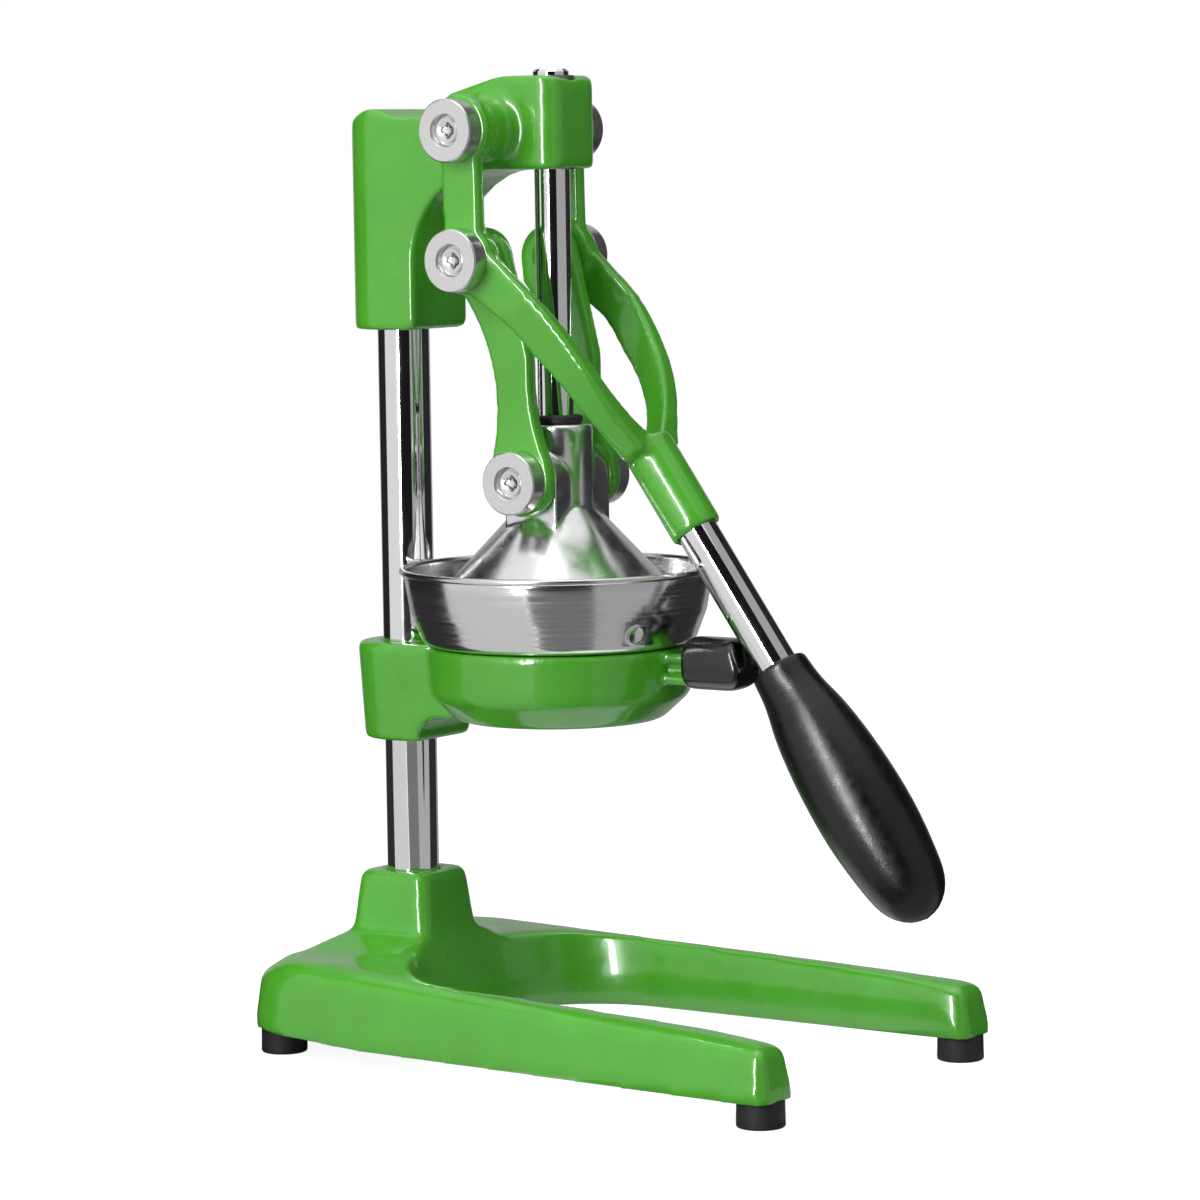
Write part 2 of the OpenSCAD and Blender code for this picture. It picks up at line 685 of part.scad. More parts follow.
// The screw that holds a cap, with its thread below the cap's inner face
module cap_screw() {
  translate([0, 0, cap_t - cap_recess]) difference() {
    cylinder(h = screw_head_h, r = screw_head_r);
    translate([0, 0, screw_head_h - hex_depth]) cylinder(h = hex_depth + over, r = hex_r, $fn = 6);
  }
  translate([0, 0, -screw_reach]) cylinder(h = screw_reach + cap_t - cap_recess, r = screw_r);
}
// Children on both ends of a pin, pointing outwards from the distance out
module both_ends(x, z, out) {
  for (side = [-1, 1])
    translate([x, side * out, z]) rotate([-side * 90, 0, 0]) children();
}
// A pin on both sides, drilled for the screws in its outer ends
module drilled_pins(x, z, near, far) {
  difference() {
    cross_pair(x, z, near, far, pin_r);
    cross_pair(x, z, far - screw_reach - over, far + over, screw_r + fit_gap);
  }
}
module lever_axle() {
  color("silver") at_press() difference() {
    cross_cyl(pivot_x, pivot_h, -axle_out, 2 * axle_out, pin_r);
    cross_pair(pivot_x, pivot_h, axle_out - screw_reach - over, axle_out + over,
      screw_r + fit_gap);
  }
}
module lever_axle_caps() { color("#c8c8c8") at_press() both_ends(pivot_x, pivot_h, axle_out) cap(); }
module lever_axle_screws() {
  color("silver") at_press() both_ends(pivot_x, pivot_h, axle_out) cap_screw();
}
// The link pins are cut short at the fork, because the links open there
module link_pins() { color("silver") at_press() drilled_pins(pin_x, pin_z, arm_in, arm_out); }
module link_pin_caps() { color("#c8c8c8") at_press() both_ends(pin_x, pin_z, arm_out) cap(); }
module link_pin_screws() {
  color("silver") at_press() both_ends(pin_x, pin_z, arm_out) cap_screw();
}
press_pin_in = 8.4;
module press_pins() { color("silver") at_press() drilled_pins(0, press_z, press_pin_in, press_cap_in); }
module press_pin_caps() { color("#c8c8c8") at_press() both_ends(0, press_z, press_cap_in) cap(); }
module press_pin_screws() {
  color("silver") at_press() both_ends(0, press_z, press_cap_in) cap_screw();
}

// Holder
// Depth of the clamp's top below the dish's edge
clamp_low = 1.9;
clamp_edge = 1.5;
clamp_foot_r = 2;
holder_top = dish_top - clamp_low;
holder_bottom = holder_top - clamp_h;
dish_knee_share = 0.65;
dish_knee_r = 6;
dish_lean = 1.5;
dish_bottom_edge = 7;
// How far the clamp reaches into the dish's wall, and its front wall over the dish's bottom
clamp_in_dish = 4;
clamp_over_foot = 1;
clamp_set_rise = [21];
clamp_blend_r = 9;
stop_peg_end = 78;
stop_rib_t = 4;
stop_web_half = 3;
module dish_outside() {
  polygon(rounded([[0, dish_bottom, 0],
    [dish_foot_r - dish_bottom_edge / 2, dish_bottom, dish_bottom_edge],
    [dish_r - dish_lean, dish_top - dish_h * dish_knee_share, dish_knee_r],
    [dish_r, dish_top, 0], [0, dish_top, 0]]));
}
module dish_inside() {
  polygon(rounded([[0, dish_bottom + dish_wall, 0],
    [dish_foot_r - dish_wall - dish_bottom_edge / 2, dish_bottom + dish_wall, dish_bottom_edge],
    [dish_r - dish_wall - dish_lean, dish_top - dish_h * dish_knee_share, dish_knee_r],
    [dish_r - dish_wall, dish_top + over, 0], [0, dish_top + over, 0]]));
}
module clamp() {
  front_x = -dish_foot_r + clamp_in_dish;
  intersection() {
    side_plate(2 * clamp_r) polygon(rounded([
      [column_x - clamp_r - over, holder_bottom, 0],
      [column_x + clamp_front, holder_bottom, clamp_foot_r],
      [column_x + clamp_front, dish_bottom - clamp_over_foot, clamp_blend_r],
      [front_x, dish_bottom - clamp_over_foot, 0],
      [front_x, holder_top, 0],
      [column_x - clamp_r - over, holder_top, 0]]));
    hull() {
      translate([column_x, 0, holder_bottom])
        cylinder(h = clamp_h - clamp_edge, r1 = clamp_r - clamp_draft, r2 = clamp_r, $fn = 2 * blend_fn);
      translate([column_x, 0, holder_top - slab])
        cylinder(h = slab, r = clamp_r - clamp_edge, $fn = 2 * blend_fn);
      translate([front_x, -clamp_half + clamp_edge, holder_bottom])
        cube([over, 2 * (clamp_half - clamp_edge), clamp_h]);
      translate([front_x, -clamp_half, holder_bottom])
        cube([over, 2 * clamp_half, clamp_h - clamp_edge]);
    }
  }
}
module stop_arm() {
  arm_x = dish_r - dish_wall / 2;
  translate([arm_x, -arm_half, stop_top - stop_rib_t])
    cube([stop_peg_end - arm_x, 2 * arm_half, stop_rib_t]);
  translate([arm_x, -arm_half, stop_top - stop_h])
    cube([stop_peg_end - arm_x, 2 * arm_half, stop_rib_t]);
  translate([arm_x, -stop_web_half, stop_top - stop_h])
    cube([stop_peg_end - arm_x, 2 * stop_web_half, stop_h]);
}
clamp_set_z = [for (rise = clamp_set_rise) holder_bottom + rise];
module holder() {
  color("limegreen") at_press() difference() {
    union() {
      rotate_extrude() dish_outside();
      clamp();
      stop_arm();
    }
    rotate_extrude() dish_inside();
    translate([0, 0, dish_bottom - over]) cylinder(h = dish_h, r = outlet_r);
    translate([column_x, 0, holder_bottom - over])
      cylinder(h = clamp_h + 2 * over, r = column_r + fit_gap);
    set_screw_holes(clamp_set_z, clamp_r);
  }
}
module holder_set_screws() { color("#303030") at_press() set_screws(clamp_set_z); }

// Rubber stop that the handle tube rests on
// Rounding of the rubber stop's ends, and its length under the tube
stop_end_r = 2;
stop_tuck = 5;
stop_corner_r = 8;
// X of the handle tube's rear face at the height z
function tube_back_x(z) =
  let(n = axis_n - tube_r - side_gap)
  pin_x + n * handle_nrm[0] + (pin_z + n * handle_nrm[1] - z) / tan(handle_drop);
module bumper() {
  low = stop_cover_top - stop_cover_h;
  color("#151515") at_press() difference() {
    intersection() {
      side_plate(2 * stop_half) polygon(rounded([[stop_back, low, stop_end_r],
        [tube_back_x(low) - stop_tuck, low, stop_corner_r],
        [tube_back_x(stop_cover_top), stop_cover_top, stop_end_r],
        [stop_back, stop_cover_top, stop_end_r]]));
      translate([stop_back - over, 0, (low + stop_cover_top) / 2]) rotate([90, 0, 90])
        linear_extrude(2 * base_back) polygon(rounded([for (q = [[-1, -1], [1, -1], [1, 1], [-1, 1]])
          [q[0] * stop_half, q[1] * stop_cover_h / 2, stop_corner_r]]));
    }
    translate([stop_back - over, -arm_half - fit_gap, stop_top - stop_h - fit_gap])
      cube([stop_peg_end + fit_gap - stop_back + over, 2 * (arm_half + fit_gap), stop_h + 2 * fit_gap]);
  }
}

// Bowl
// Clearance of the bowl's funnel in the dish, its depth, lean and the slope of its foot
funnel_gap = 1.5;
// Least width of the bowl's floor outside the funnel
funnel_ledge = 6;
funnel_r = min(dish_r - dish_wall - funnel_gap, bowl_floor_r - funnel_ledge);
funnel_deep = 9;
funnel_lean = 1;
spout_over = 1;
spout_foot = dish_bottom + spout_over;
spout_top = dish_bottom + funnel_deep;
bowl_mid_share = 0.55;
bowl_mid_z = rim_z - bowl_depth * bowl_mid_share;
// Rounding of the bowl's floor edge
bowl_knuckle = 2;
module bowl() {
  color("#d8d8d8") at_press() rotate_extrude() {
    polygon([[spout_r, spout_foot], [spout_r, spout_top], [funnel_r - funnel_lean, dish_top - funnel_deep],
      [funnel_r, dish_top], [bowl_floor_r - bowl_knuckle, dish_top],
      [bowl_floor_r, dish_top + bowl_knuckle], [bowl_mid_r, bowl_mid_z], [bowl_r, rim_z],
      [bowl_r - bowl_wall, rim_z], [bowl_mid_r - bowl_wall, bowl_mid_z],
      [bowl_floor_r - bowl_wall, dish_top + bowl_wall + bowl_knuckle],
      [bowl_floor_r - bowl_wall - bowl_knuckle, dish_top + bowl_wall],
      [funnel_r - bowl_wall, dish_top + bowl_wall],
      [funnel_r - funnel_lean - bowl_wall, dish_top - funnel_deep + bowl_wall],
      [spout_r - bowl_wall, spout_top + bowl_wall], [spout_r - bowl_wall, spout_foot]]);
    translate([bowl_r, rim_z]) circle(bead_r);
  }
}

// Strainer with its reamer
strainer_wall = 1.6;
strainer_z = dish_top + bowl_wall;
strainer_gap = 1.5;
strainer_r = bowl_floor_r - bowl_knuckle - strainer_gap;
reamer_tip_r = 6;
// Rounding of the reamer's tip, and how far a rib stands out and how thick it is
reamer_edge = 2;
reamer_rib = 1.6;
reamer_rib_t = 2.4;
reamer_rib_r = 5;
// Places of the rings of holes, as shares of the way from the reamer's foot to the edge
hole_ring_share = [0.262, 0.598];
module reamer_half() {
  top = strainer_z + reamer_h;
  polygon([[0, strainer_z + strainer_wall], [reamer_r, strainer_z + strainer_wall],
    [reamer_tip_r + reamer_edge, top - reamer_edge], [reamer_tip_r, top], [0, top]]);
}
module strainer() {
  color("#cfcfcf") at_press() difference() {
    union() {
      translate([0, 0, strainer_z]) cylinder(h = strainer_wall, r = strainer_r);
      rotate_extrude() reamer_half();
      for (k = [0:reamer_ribs - 1]) rotate(k * 360 / reamer_ribs)
        rotate([90, 0, 0]) linear_extrude(reamer_rib_t, center = true)
          translate([reamer_rib, 0]) intersection() {
            reamer_half();
            translate([reamer_rib_r, 0]) square(strainer_z + reamer_h);
          }
    }
    rotate_extrude() polygon([[0, strainer_z - over], [reamer_r - 2 * strainer_wall, strainer_z - over],
      [reamer_r - 2 * strainer_wall, strainer_z],
      [reamer_tip_r - strainer_wall / 2, strainer_z + reamer_h - 2 * reamer_edge],
      [0, strainer_z + reamer_h - 2 * reamer_edge]]);
    for (ring = hole_ring_share, k = [0:strainer_holes - 1])
      rotate(k * 360 / strainer_holes)
        translate([reamer_r + ring * (strainer_r - reamer_r), 0, strainer_z - over])
          cylinder(h = strainer_wall + 2 * over, r = strainer_hole_r, $fn = 24);
  }
}

// Lever
// Middle line of the fork below the link pin: place along the fork, bow, width, and rise
// to the handle's axis, as shares
fork_line_share = [[0, 0, 1.35, 0], [0.18, 0.25, 1.1, 0.6], [0.35, 0.6, 0.98, 1],
  [0.5, 0.86, 0.95, 1], [0.65, 0.98, 0.84, 1], [0.77, 0.84, 0.76, 1], [0.88, 0.56, 0.7, 1],
  [1.05, 0, 0.66, 1]];
// Half widths of the fork seen square to the handle, outside and inside, as shares
fork_out_share = [[-0.8, 1], [0.2, 1], [0.37, 0.968], [0.51, 0.908], [0.67, 0.821],
  [0.79, 0.726], [0.89, 0.592], [1, 0.42], [1.13, 0.25]];
fork_in_share = [[-0.8, 1], [0.2, 1], [0.37, 0.948], [0.51, 0.852], [0.67, 0.724],
  [0.79, 0.572], [0.89, 0.379], [0.967, 0.16], [1, 0]];
module fork_side() {
  mid = [for (q = fork_line_share) [q[0] * fork_l, axis_n * q[3] + fork_bow * q[1]]];
  top = smooth([for (i = [0:len(mid) - 1]) mid[i] + [0, fork_line_share[i][2] * fork_w / 2]]);
  low = smooth([for (i = [0:len(mid) - 1]) mid[i] - [0, fork_line_share[i][2] * fork_w / 2]]);
  polygon(concat(top, reversed(low)));
}
// Plan of the fork through the half widths in share, with its open end past by more
module fork_plan(share, half, more) {
  edge = smooth([for (q = share) [q[0] * fork_l - (q[0] < 0 ? more : 0), q[1] * half]]);
  polygon(concat(edge, mirrored(edge)));
}
module arm_side() {
  across = [crank_dir * handle_nrm, -(crank_dir * handle_dir)] * arm_w / 2;
  pivot = [pivot_u, pivot_n];
  polygon([-across, across, pivot + across, pivot - across]);
}
module lever() {
  color("limegreen") at_lever() difference() {
    union() {
      intersection() {
        rotate([90, 0, 0]) linear_extrude(2 * (arm_out + over), center = true) {
          fork_side();
          arm_side();
        }
        linear_extrude(4 * crank_l, center = true) difference() {
          fork_plan(fork_out_share, arm_out - eye_proud, 0);
          fork_plan(fork_in_share, arm_in + arm_relief, over);
        }
      }
      for (side = [-1, 1])
        translate([0, side * (arm_in + arm_out) / 2, 0]) rotate([90, 0, 0])
          linear_extrude(arm_t, center = true) {
            circle(arm_low_eye_r);
            translate([pivot_u, pivot_n]) circle(arm_eye_r);
          }
      translate([socket_end - socket_l, 0, axis_n]) rotate([0, 90, 0])
        cylinder(h = socket_l, r = socket_r);
    }
    translate([socket_end - tube_seat, 0, axis_n]) rotate([0, 90, 0])
      cylinder(h = tube_seat + over, r = tube_r + fit_gap);
    translate([0, -arm_out - 2 * over, 0]) rotate([-90, 0, 0])
      cylinder(h = 2 * arm_out + 4 * over, r = pin_r + fit_gap);
    translate([pivot_u, -arm_out - 2 * over, pivot_n]) rotate([-90, 0, 0])
      cylinder(h = 2 * arm_out + 4 * over, r = pin_r + run_gap);
  }
}
grip_start = socket_end + tube_free;
tube_in_grip = 80;
module handle_tube() {
  color("silver") along_handle() translate([0, 0, socket_end - tube_seat])
    cylinder(h = tube_seat + tube_free + tube_in_grip, r = tube_r);
}
// Radius of the grip along its length, as shares of its length and greatest radius
grip_share = [[0, 0.57], [0.02, 0.62], [0.06, 0.625], [0.11, 0.667], [0.16, 0.743], [0.21, 0.816],
  [0.27, 0.876], [0.37, 0.946], [0.47, 0.984], [0.58, 1], [0.68, 0.973], [0.78, 0.903],
  [0.85, 0.84], [0.9, 0.77], [0.95, 0.6], [0.985, 0.34], [1, 0]];
module grip() {
  color("#1e1e1e") along_handle() translate([0, 0, grip_start]) difference() {
    rotate_extrude() polygon(concat(smooth([for (q = grip_share) [q[1] * grip_r, q[0] * grip_l]]),
      [[0, 0]]));
    translate([0, 0, -over]) cylinder(h = tube_in_grip + over, r = tube_r + fit_gap);
  }
}

// Links
// Places of the belly and of the neck along a link
link_belly_share = 0.52;
link_neck_share = 0.27;
// Outline of a link, from its lower eye up the front edge and back down the hollow edge
module link_side() {
  belly_turn = acos((link_hollow_r + link_belly - link_neck - link_foot_r) / link_hollow_r);
  // The hollow edge ends above the middle of the lower eye
  waist_turn = min(acos((link_hollow_r + link_waist - link_foot_r) / link_hollow_r),
    asin((link_l - link_foot_r) / 2 / link_hollow_r));
  eye_steps = 3 * corner_steps;
  rotate(link_lean) polygon(concat(
    arc_at([0, 0], link_foot_r, 180, 360, eye_steps),
    arc_at([link_belly - link_neck + link_hollow_r, link_l * link_neck_share], link_hollow_r,
      180 + belly_turn, 180 - belly_turn, corner_steps),
    [[link_belly, link_l * link_belly_share]],
    arc_at([0, link_l], link_eye_r, 0, 180, eye_steps),
    arc_at([-link_waist - link_hollow_r, link_l / 2], link_hollow_r, waist_turn, -waist_turn,
      2 * corner_steps)));
}
module link(side) {
  color("limegreen") at_press() difference() {
    union() {
      translate([0, side * (link_in + link_out) / 2, press_z])
        rotate([90, 0, 0]) linear_extrude(link_t, center = true) link_side();
      translate([pin_x, side * (link_out - over), pin_z]) rotate([-side * 90, 0, 0])
        cylinder(h = link_boss_h + over, r = link_boss_r);
    }
    cross_cyl(0, press_z, -arm_out, 2 * arm_out, pin_r + run_gap);
    cross_cyl(pin_x, pin_z, -arm_out, 2 * arm_out, pin_r + run_gap);
  }
}

// Press cone
ear_foot_r = norm([ear_r, ear_half]);
ear_foot = cone_top - (ear_foot_r - hub_r) * cone_slope - over;
cup_drop = cone_wall * sqrt(1 + cone_slope * cone_slope);
// Thickness of the hub's floor over the screw's head
hub_floor = 7.3;
cup_top = cone_top - hub_floor;
cup_top_r = hub_r + (cone_top - cup_drop - cup_top) / cone_slope;
hub_edge = 1;
rod_foot = press_hub_top - rod_seat;
press_screw_r = 4;
press_screw_reach = 14;
press_screw_head_r = 6.5;
press_screw_head_h = 5;
module press_cone() {
  color("#d0d0d2") at_press() difference() {
    union() {
      rotate_extrude() polygon([[0, skirt_foot], [cone_r, skirt_foot], [cone_r, cone_foot],
        [hub_r, cone_top], [hub_r, press_hub_top - hub_edge], [hub_r - hub_edge, press_hub_top],
        [0, press_hub_top]]);
      side_plate(ear_half) {
        translate([0, press_z]) circle(ear_r);
        translate([-ear_r, ear_foot]) square([2 * ear_r, press_z - ear_foot]);
      }
    }
    rotate_extrude() polygon([[0, skirt_foot - over], [cone_r - cone_wall, skirt_foot - over],
      [cone_r - cone_wall, cone_top - (cone_r - cone_wall - hub_r) * cone_slope - cup_drop],
      [cup_top_r, cup_top], [0, cup_top]]);
    translate([0, 0, rod_foot]) cylinder(h = rod_seat + over, r = rod_r + fit_gap);
    translate([0, 0, cup_top - over])
      cylinder(h = rod_foot - cup_top + 2 * over, r = press_screw_r + fit_gap);
    cross_pair(0, press_z, press_pin_in - fit_gap, ear_half + over, pin_r + fit_gap);
  }
}
module guide_rod() {
  rod_top = hub_top + rod_proud;
  rod_chamfer = 1;
  color("silver") at_press() difference() {
    rotate_extrude() polygon([[0, rod_foot], [rod_r, rod_foot], [rod_r, rod_top - rod_chamfer],
      [rod_r - rod_chamfer, rod_top], [0, rod_top]]);
    translate([0, 0, rod_foot - over])
      cylinder(h = press_screw_reach + 2 * over, r = press_screw_r + fit_gap);
  }
}
module rod_screw() {
  color("silver") at_press() translate([0, 0, cup_top]) {
    translate([0, 0, -press_screw_head_h])
      cylinder(h = press_screw_head_h, r = press_screw_head_r, $fn = 6);
    cylinder(h = rod_foot - cup_top + press_screw_reach, r = press_screw_r);
  }
}
buffer_r = 10.5;
buffer_h = 3.2;
module rod_buffer() {
  color("#151515") at_press() translate([0, 0, press_hub_top]) difference() {
    cylinder(h = buffer_h, r = buffer_r);
    translate([0, 0, -over]) cylinder(h = buffer_h + 2 * over, r = rod_r + fit_gap);
  }
}

base();
rubber_foot(0, -1);  // rubber_foot_rear_right
rubber_foot(0, 1);  // rubber_foot_rear_left
rubber_foot(1, -1);  // rubber_foot_front_right
rubber_foot(1, 1);  // rubber_foot_front_left
foot_screws();
column();
column_bolt();
column_washer();
head();
guide_bush();
head_set_screws();
lever_axle();
lever_axle_caps();
lever_axle_screws();
holder();
holder_set_screws();
bumper();
bowl();
strainer();
lever();
handle_tube();
grip();
link_pins();
link_pin_caps();
link_pin_screws();
link(-1);  // link_right
link(1);  // link_left
press_cone();
guide_rod();
rod_screw();
rod_buffer();
press_pins();
press_pin_caps();
press_pin_screws();
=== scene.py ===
"""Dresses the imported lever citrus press: softened castings, turned parts, materials, stage and camera."""
import json
import math

import bpy
from mathutils import Matrix, Vector


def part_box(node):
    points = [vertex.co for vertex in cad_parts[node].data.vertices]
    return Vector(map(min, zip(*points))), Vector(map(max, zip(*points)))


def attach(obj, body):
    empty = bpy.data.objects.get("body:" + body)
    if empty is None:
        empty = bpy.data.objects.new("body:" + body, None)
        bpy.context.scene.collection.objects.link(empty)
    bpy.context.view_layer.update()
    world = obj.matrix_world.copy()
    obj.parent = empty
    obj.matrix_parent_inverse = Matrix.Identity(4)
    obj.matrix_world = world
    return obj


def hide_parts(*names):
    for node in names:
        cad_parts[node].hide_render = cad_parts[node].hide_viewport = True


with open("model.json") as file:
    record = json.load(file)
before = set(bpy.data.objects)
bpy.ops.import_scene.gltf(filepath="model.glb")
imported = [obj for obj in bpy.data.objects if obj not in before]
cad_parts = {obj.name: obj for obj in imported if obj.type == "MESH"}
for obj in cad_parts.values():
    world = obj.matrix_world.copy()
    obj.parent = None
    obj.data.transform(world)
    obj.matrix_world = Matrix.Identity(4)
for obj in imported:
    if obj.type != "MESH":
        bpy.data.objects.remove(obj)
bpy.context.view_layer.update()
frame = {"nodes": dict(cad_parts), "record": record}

bl_info = {
    "name": "Lever Citrus Press",
    "version": (1, 0, 0),
    "blender": (4, 5, 0),
    "location": "View3D > Sidebar > Press",
    "description": "Builds the finish of a lever citrus press round its frame",
    "category": "Object",
}

MM = 0.001
# Clearance between a bar and the bore round it, and the angle past which a copied node keeps an edge
BORE_GAP = 0.05 * MM
CRISP = math.radians(35)
BODY_OF = {node: body for body, nodes in frame["record"]["behaviour"]["bodies"].items() for node in nodes}
SLOT_OF = {entry["node"]: entry["material_slot"] for entry in frame["record"]["subparts"]}


def middle(node):
    """The middle of a node's box."""
    low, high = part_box(node)
    return (low + high) / 2


PRESS_X = middle("guide_rod").x
COLUMN_X = middle("column").x


# Modelling helpers


def deselect():
    bpy.ops.object.select_all(action="DESELECT")


def activate(piece):
    deselect()
    piece.select_set(True)
    bpy.context.view_layer.objects.active = piece


def copy_node(node, name):
    """A merged copy of a node's loose triangles, as a new piece."""
    piece = bpy.data.objects.new(name, frame["nodes"][node].data.copy())
    bpy.context.scene.collection.objects.link(piece)
    activate(piece)
    bpy.ops.object.mode_set(mode="EDIT")
    bpy.ops.mesh.select_all(action="SELECT")
    bpy.ops.mesh.remove_doubles(threshold=0.002 * MM)
    bpy.ops.object.mode_set(mode="OBJECT")
    return piece


def add_modifier(piece, kind, **settings):
    """Adds a modifier with its settings and applies it."""
    activate(piece)
    modifier = piece.modifiers.new(kind.title(), kind)
    for key, value in settings.items():
        setattr(modifier, key, value)
    bpy.ops.object.modifier_apply(modifier=modifier.name)


def smooth_shade(piece, angle=None):
    activate(piece)
    if angle is None:
        bpy.ops.object.shade_smooth()
    else:
        bpy.ops.object.shade_smooth_by_angle(angle=angle)


def soften(piece, voxel, passes):
    """Rounds all edges of a casting, as its mould and its paint do."""
    add_modifier(piece, "REMESH", mode="VOXEL", voxel_size=voxel, adaptivity=0.0)
    add_modifier(piece, "SMOOTH", factor=0.5, iterations=passes)
    smooth_shade(piece)


# Heights over the stand's ground rim: all below the first goes on the rim's plane, and what lies
# between the two is stretched evenly down to it
RIM_FLAT, RIM_TOP = 1.6 * MM, 5 * MM
# Where the rim starts to rise before the column, and where its rise ends past the rear feet
RIM_RISE_AHEAD, RIM_RISE_PAST = 25 * MM, 1 * MM


def level_rim(piece):
    """Puts the stand's ground rim back on its plane, which softening has left uneven: level in front,
    and rising a little to the rear feet."""
    front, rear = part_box("rubber_foot_front_left")[1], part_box("rubber_foot_rear_left")[1]
    start, end = COLUMN_X + RIM_RISE_AHEAD, rear.x + RIM_RISE_PAST
    for vertex in piece.data.vertices:
        share = min(max((start - vertex.co.x) / (start - end), 0), 1)
        height = front.z + (rear.z - front.z) * share
        gap = vertex.co.z - height
        if gap < RIM_TOP:
            vertex.co.z = height + max(0, gap - RIM_FLAT) * RIM_TOP / (RIM_TOP - RIM_FLAT)


def turned(name, profile, place=None, segments=96, angle=30, levels=0):
    """Draws a turned piece ring by ring from its profile of (radius, height) points, then lays it in place.
    A profile that ends where it starts closes on itself; one that ends on the axis gets a pole."""
    deselect()
    radius, height = profile[0]
    solid = radius == 0
    if solid:
        profile = profile[1:]
        radius, height = profile[0]
    bpy.ops.mesh.primitive_circle_add(
        vertices=segments, radius=radius, fill_type="TRIFAN" if solid else "NOTHING", location=(0, 0, height)
    )
    piece = bpy.context.active_object
    piece.name = piece.data.name = name
    bpy.ops.object.transform_apply(location=True, rotation=True, scale=True)
    bpy.ops.object.mode_set(mode="EDIT")
    bpy.ops.mesh.select_all(action="SELECT")
    if solid:
        bpy.ops.mesh.region_to_loop()
    for new_radius, new_height in profile[1:]:
        bpy.ops.mesh.extrude_edges_move(TRANSFORM_OT_translate={"value": (0, 0, new_height - height)})
        if new_radius == 0:
            bpy.ops.mesh.merge(type="CENTER")
            break
        ratio = new_radius / radius
        bpy.ops.transform.resize(value=(ratio, ratio, 1), center_override=(0, 0, new_height))
        radius, height = new_radius, new_height
    bpy.ops.mesh.select_all(action="SELECT")
    bpy.ops.mesh.remove_doubles(threshold=0.001 * MM)
    bpy.ops.mesh.normals_make_consistent(inside=False)
    bpy.ops.object.mode_set(mode="OBJECT")
    if levels:
        add_modifier(piece, "SUBSURF", levels=levels, render_levels=levels)
    smooth_shade(piece, math.radians(angle))
    if place is not None:
        piece.data.transform(place)
    return piece


def rounded(corners, steps=6):
    """Profile through corners of (radius, height, rounding), with an arc at each corner that has one."""
    points = []
    for i, (r, z, size) in enumerate(corners):
        here = Vector((r, z))
        if size == 0:
            points.append(tuple(here))
            continue
        before = (Vector(corners[i - 1][:2]) - here).normalized()
        after = (Vector(corners[i + 1][:2]) - here).normalized()
        half = before.angle(after) / 2
        centre = here + (before + after).normalized() * size / math.sin(half)
        first = here + before * size / math.tan(half) - centre
        last = here + after * size / math.tan(half) - centre
        for k in range(steps + 1):
            points.append(tuple(centre + first.slerp(last, k / steps) * first.length))
    return points


def join(name, *pieces):
    """Makes one piece of several."""
    deselect()
    for piece in pieces:
        piece.select_set(True)
    bpy.context.view_layer.objects.active = pieces[0]
    bpy.ops.object.join()
    pieces[0].name = name
    return pieces[0]


def along(start, direction):
    """The place that turns the Z axis to a direction and moves it to start."""
    return Matrix.Translation(start) @ Vector(direction).to_track_quat("Z", "Y").to_matrix().to_4x4()


def chamfered(radius, low, high, chamfer):
    """Profile of a plain bar with chamfered ends."""
    return [(0, low), (radius - chamfer, low), (radius, low + chamfer), (radius, high - chamfer),
            (radius - chamfer, high), (0, high)]


def arc(centre, radius, start, end, steps):
    """Points of an arc in the profile plane, angles in degrees."""
    cx, cz = centre
    span = math.radians(end - start)
    first = math.radians(start)
    return [
        (cx + radius * math.cos(first + span * k / steps), cz + radius * math.sin(first + span * k / steps))
        for k in range(steps + 1)
    ]


def finish(piece, material, *nodes):
    """Gives a piece its material and body, and lets it stand for its nodes."""
    piece.data.materials.clear()
    piece.data.materials.append(material)
    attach(piece, BODY_OF[nodes[0]])
    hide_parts(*nodes)


# Material helpers


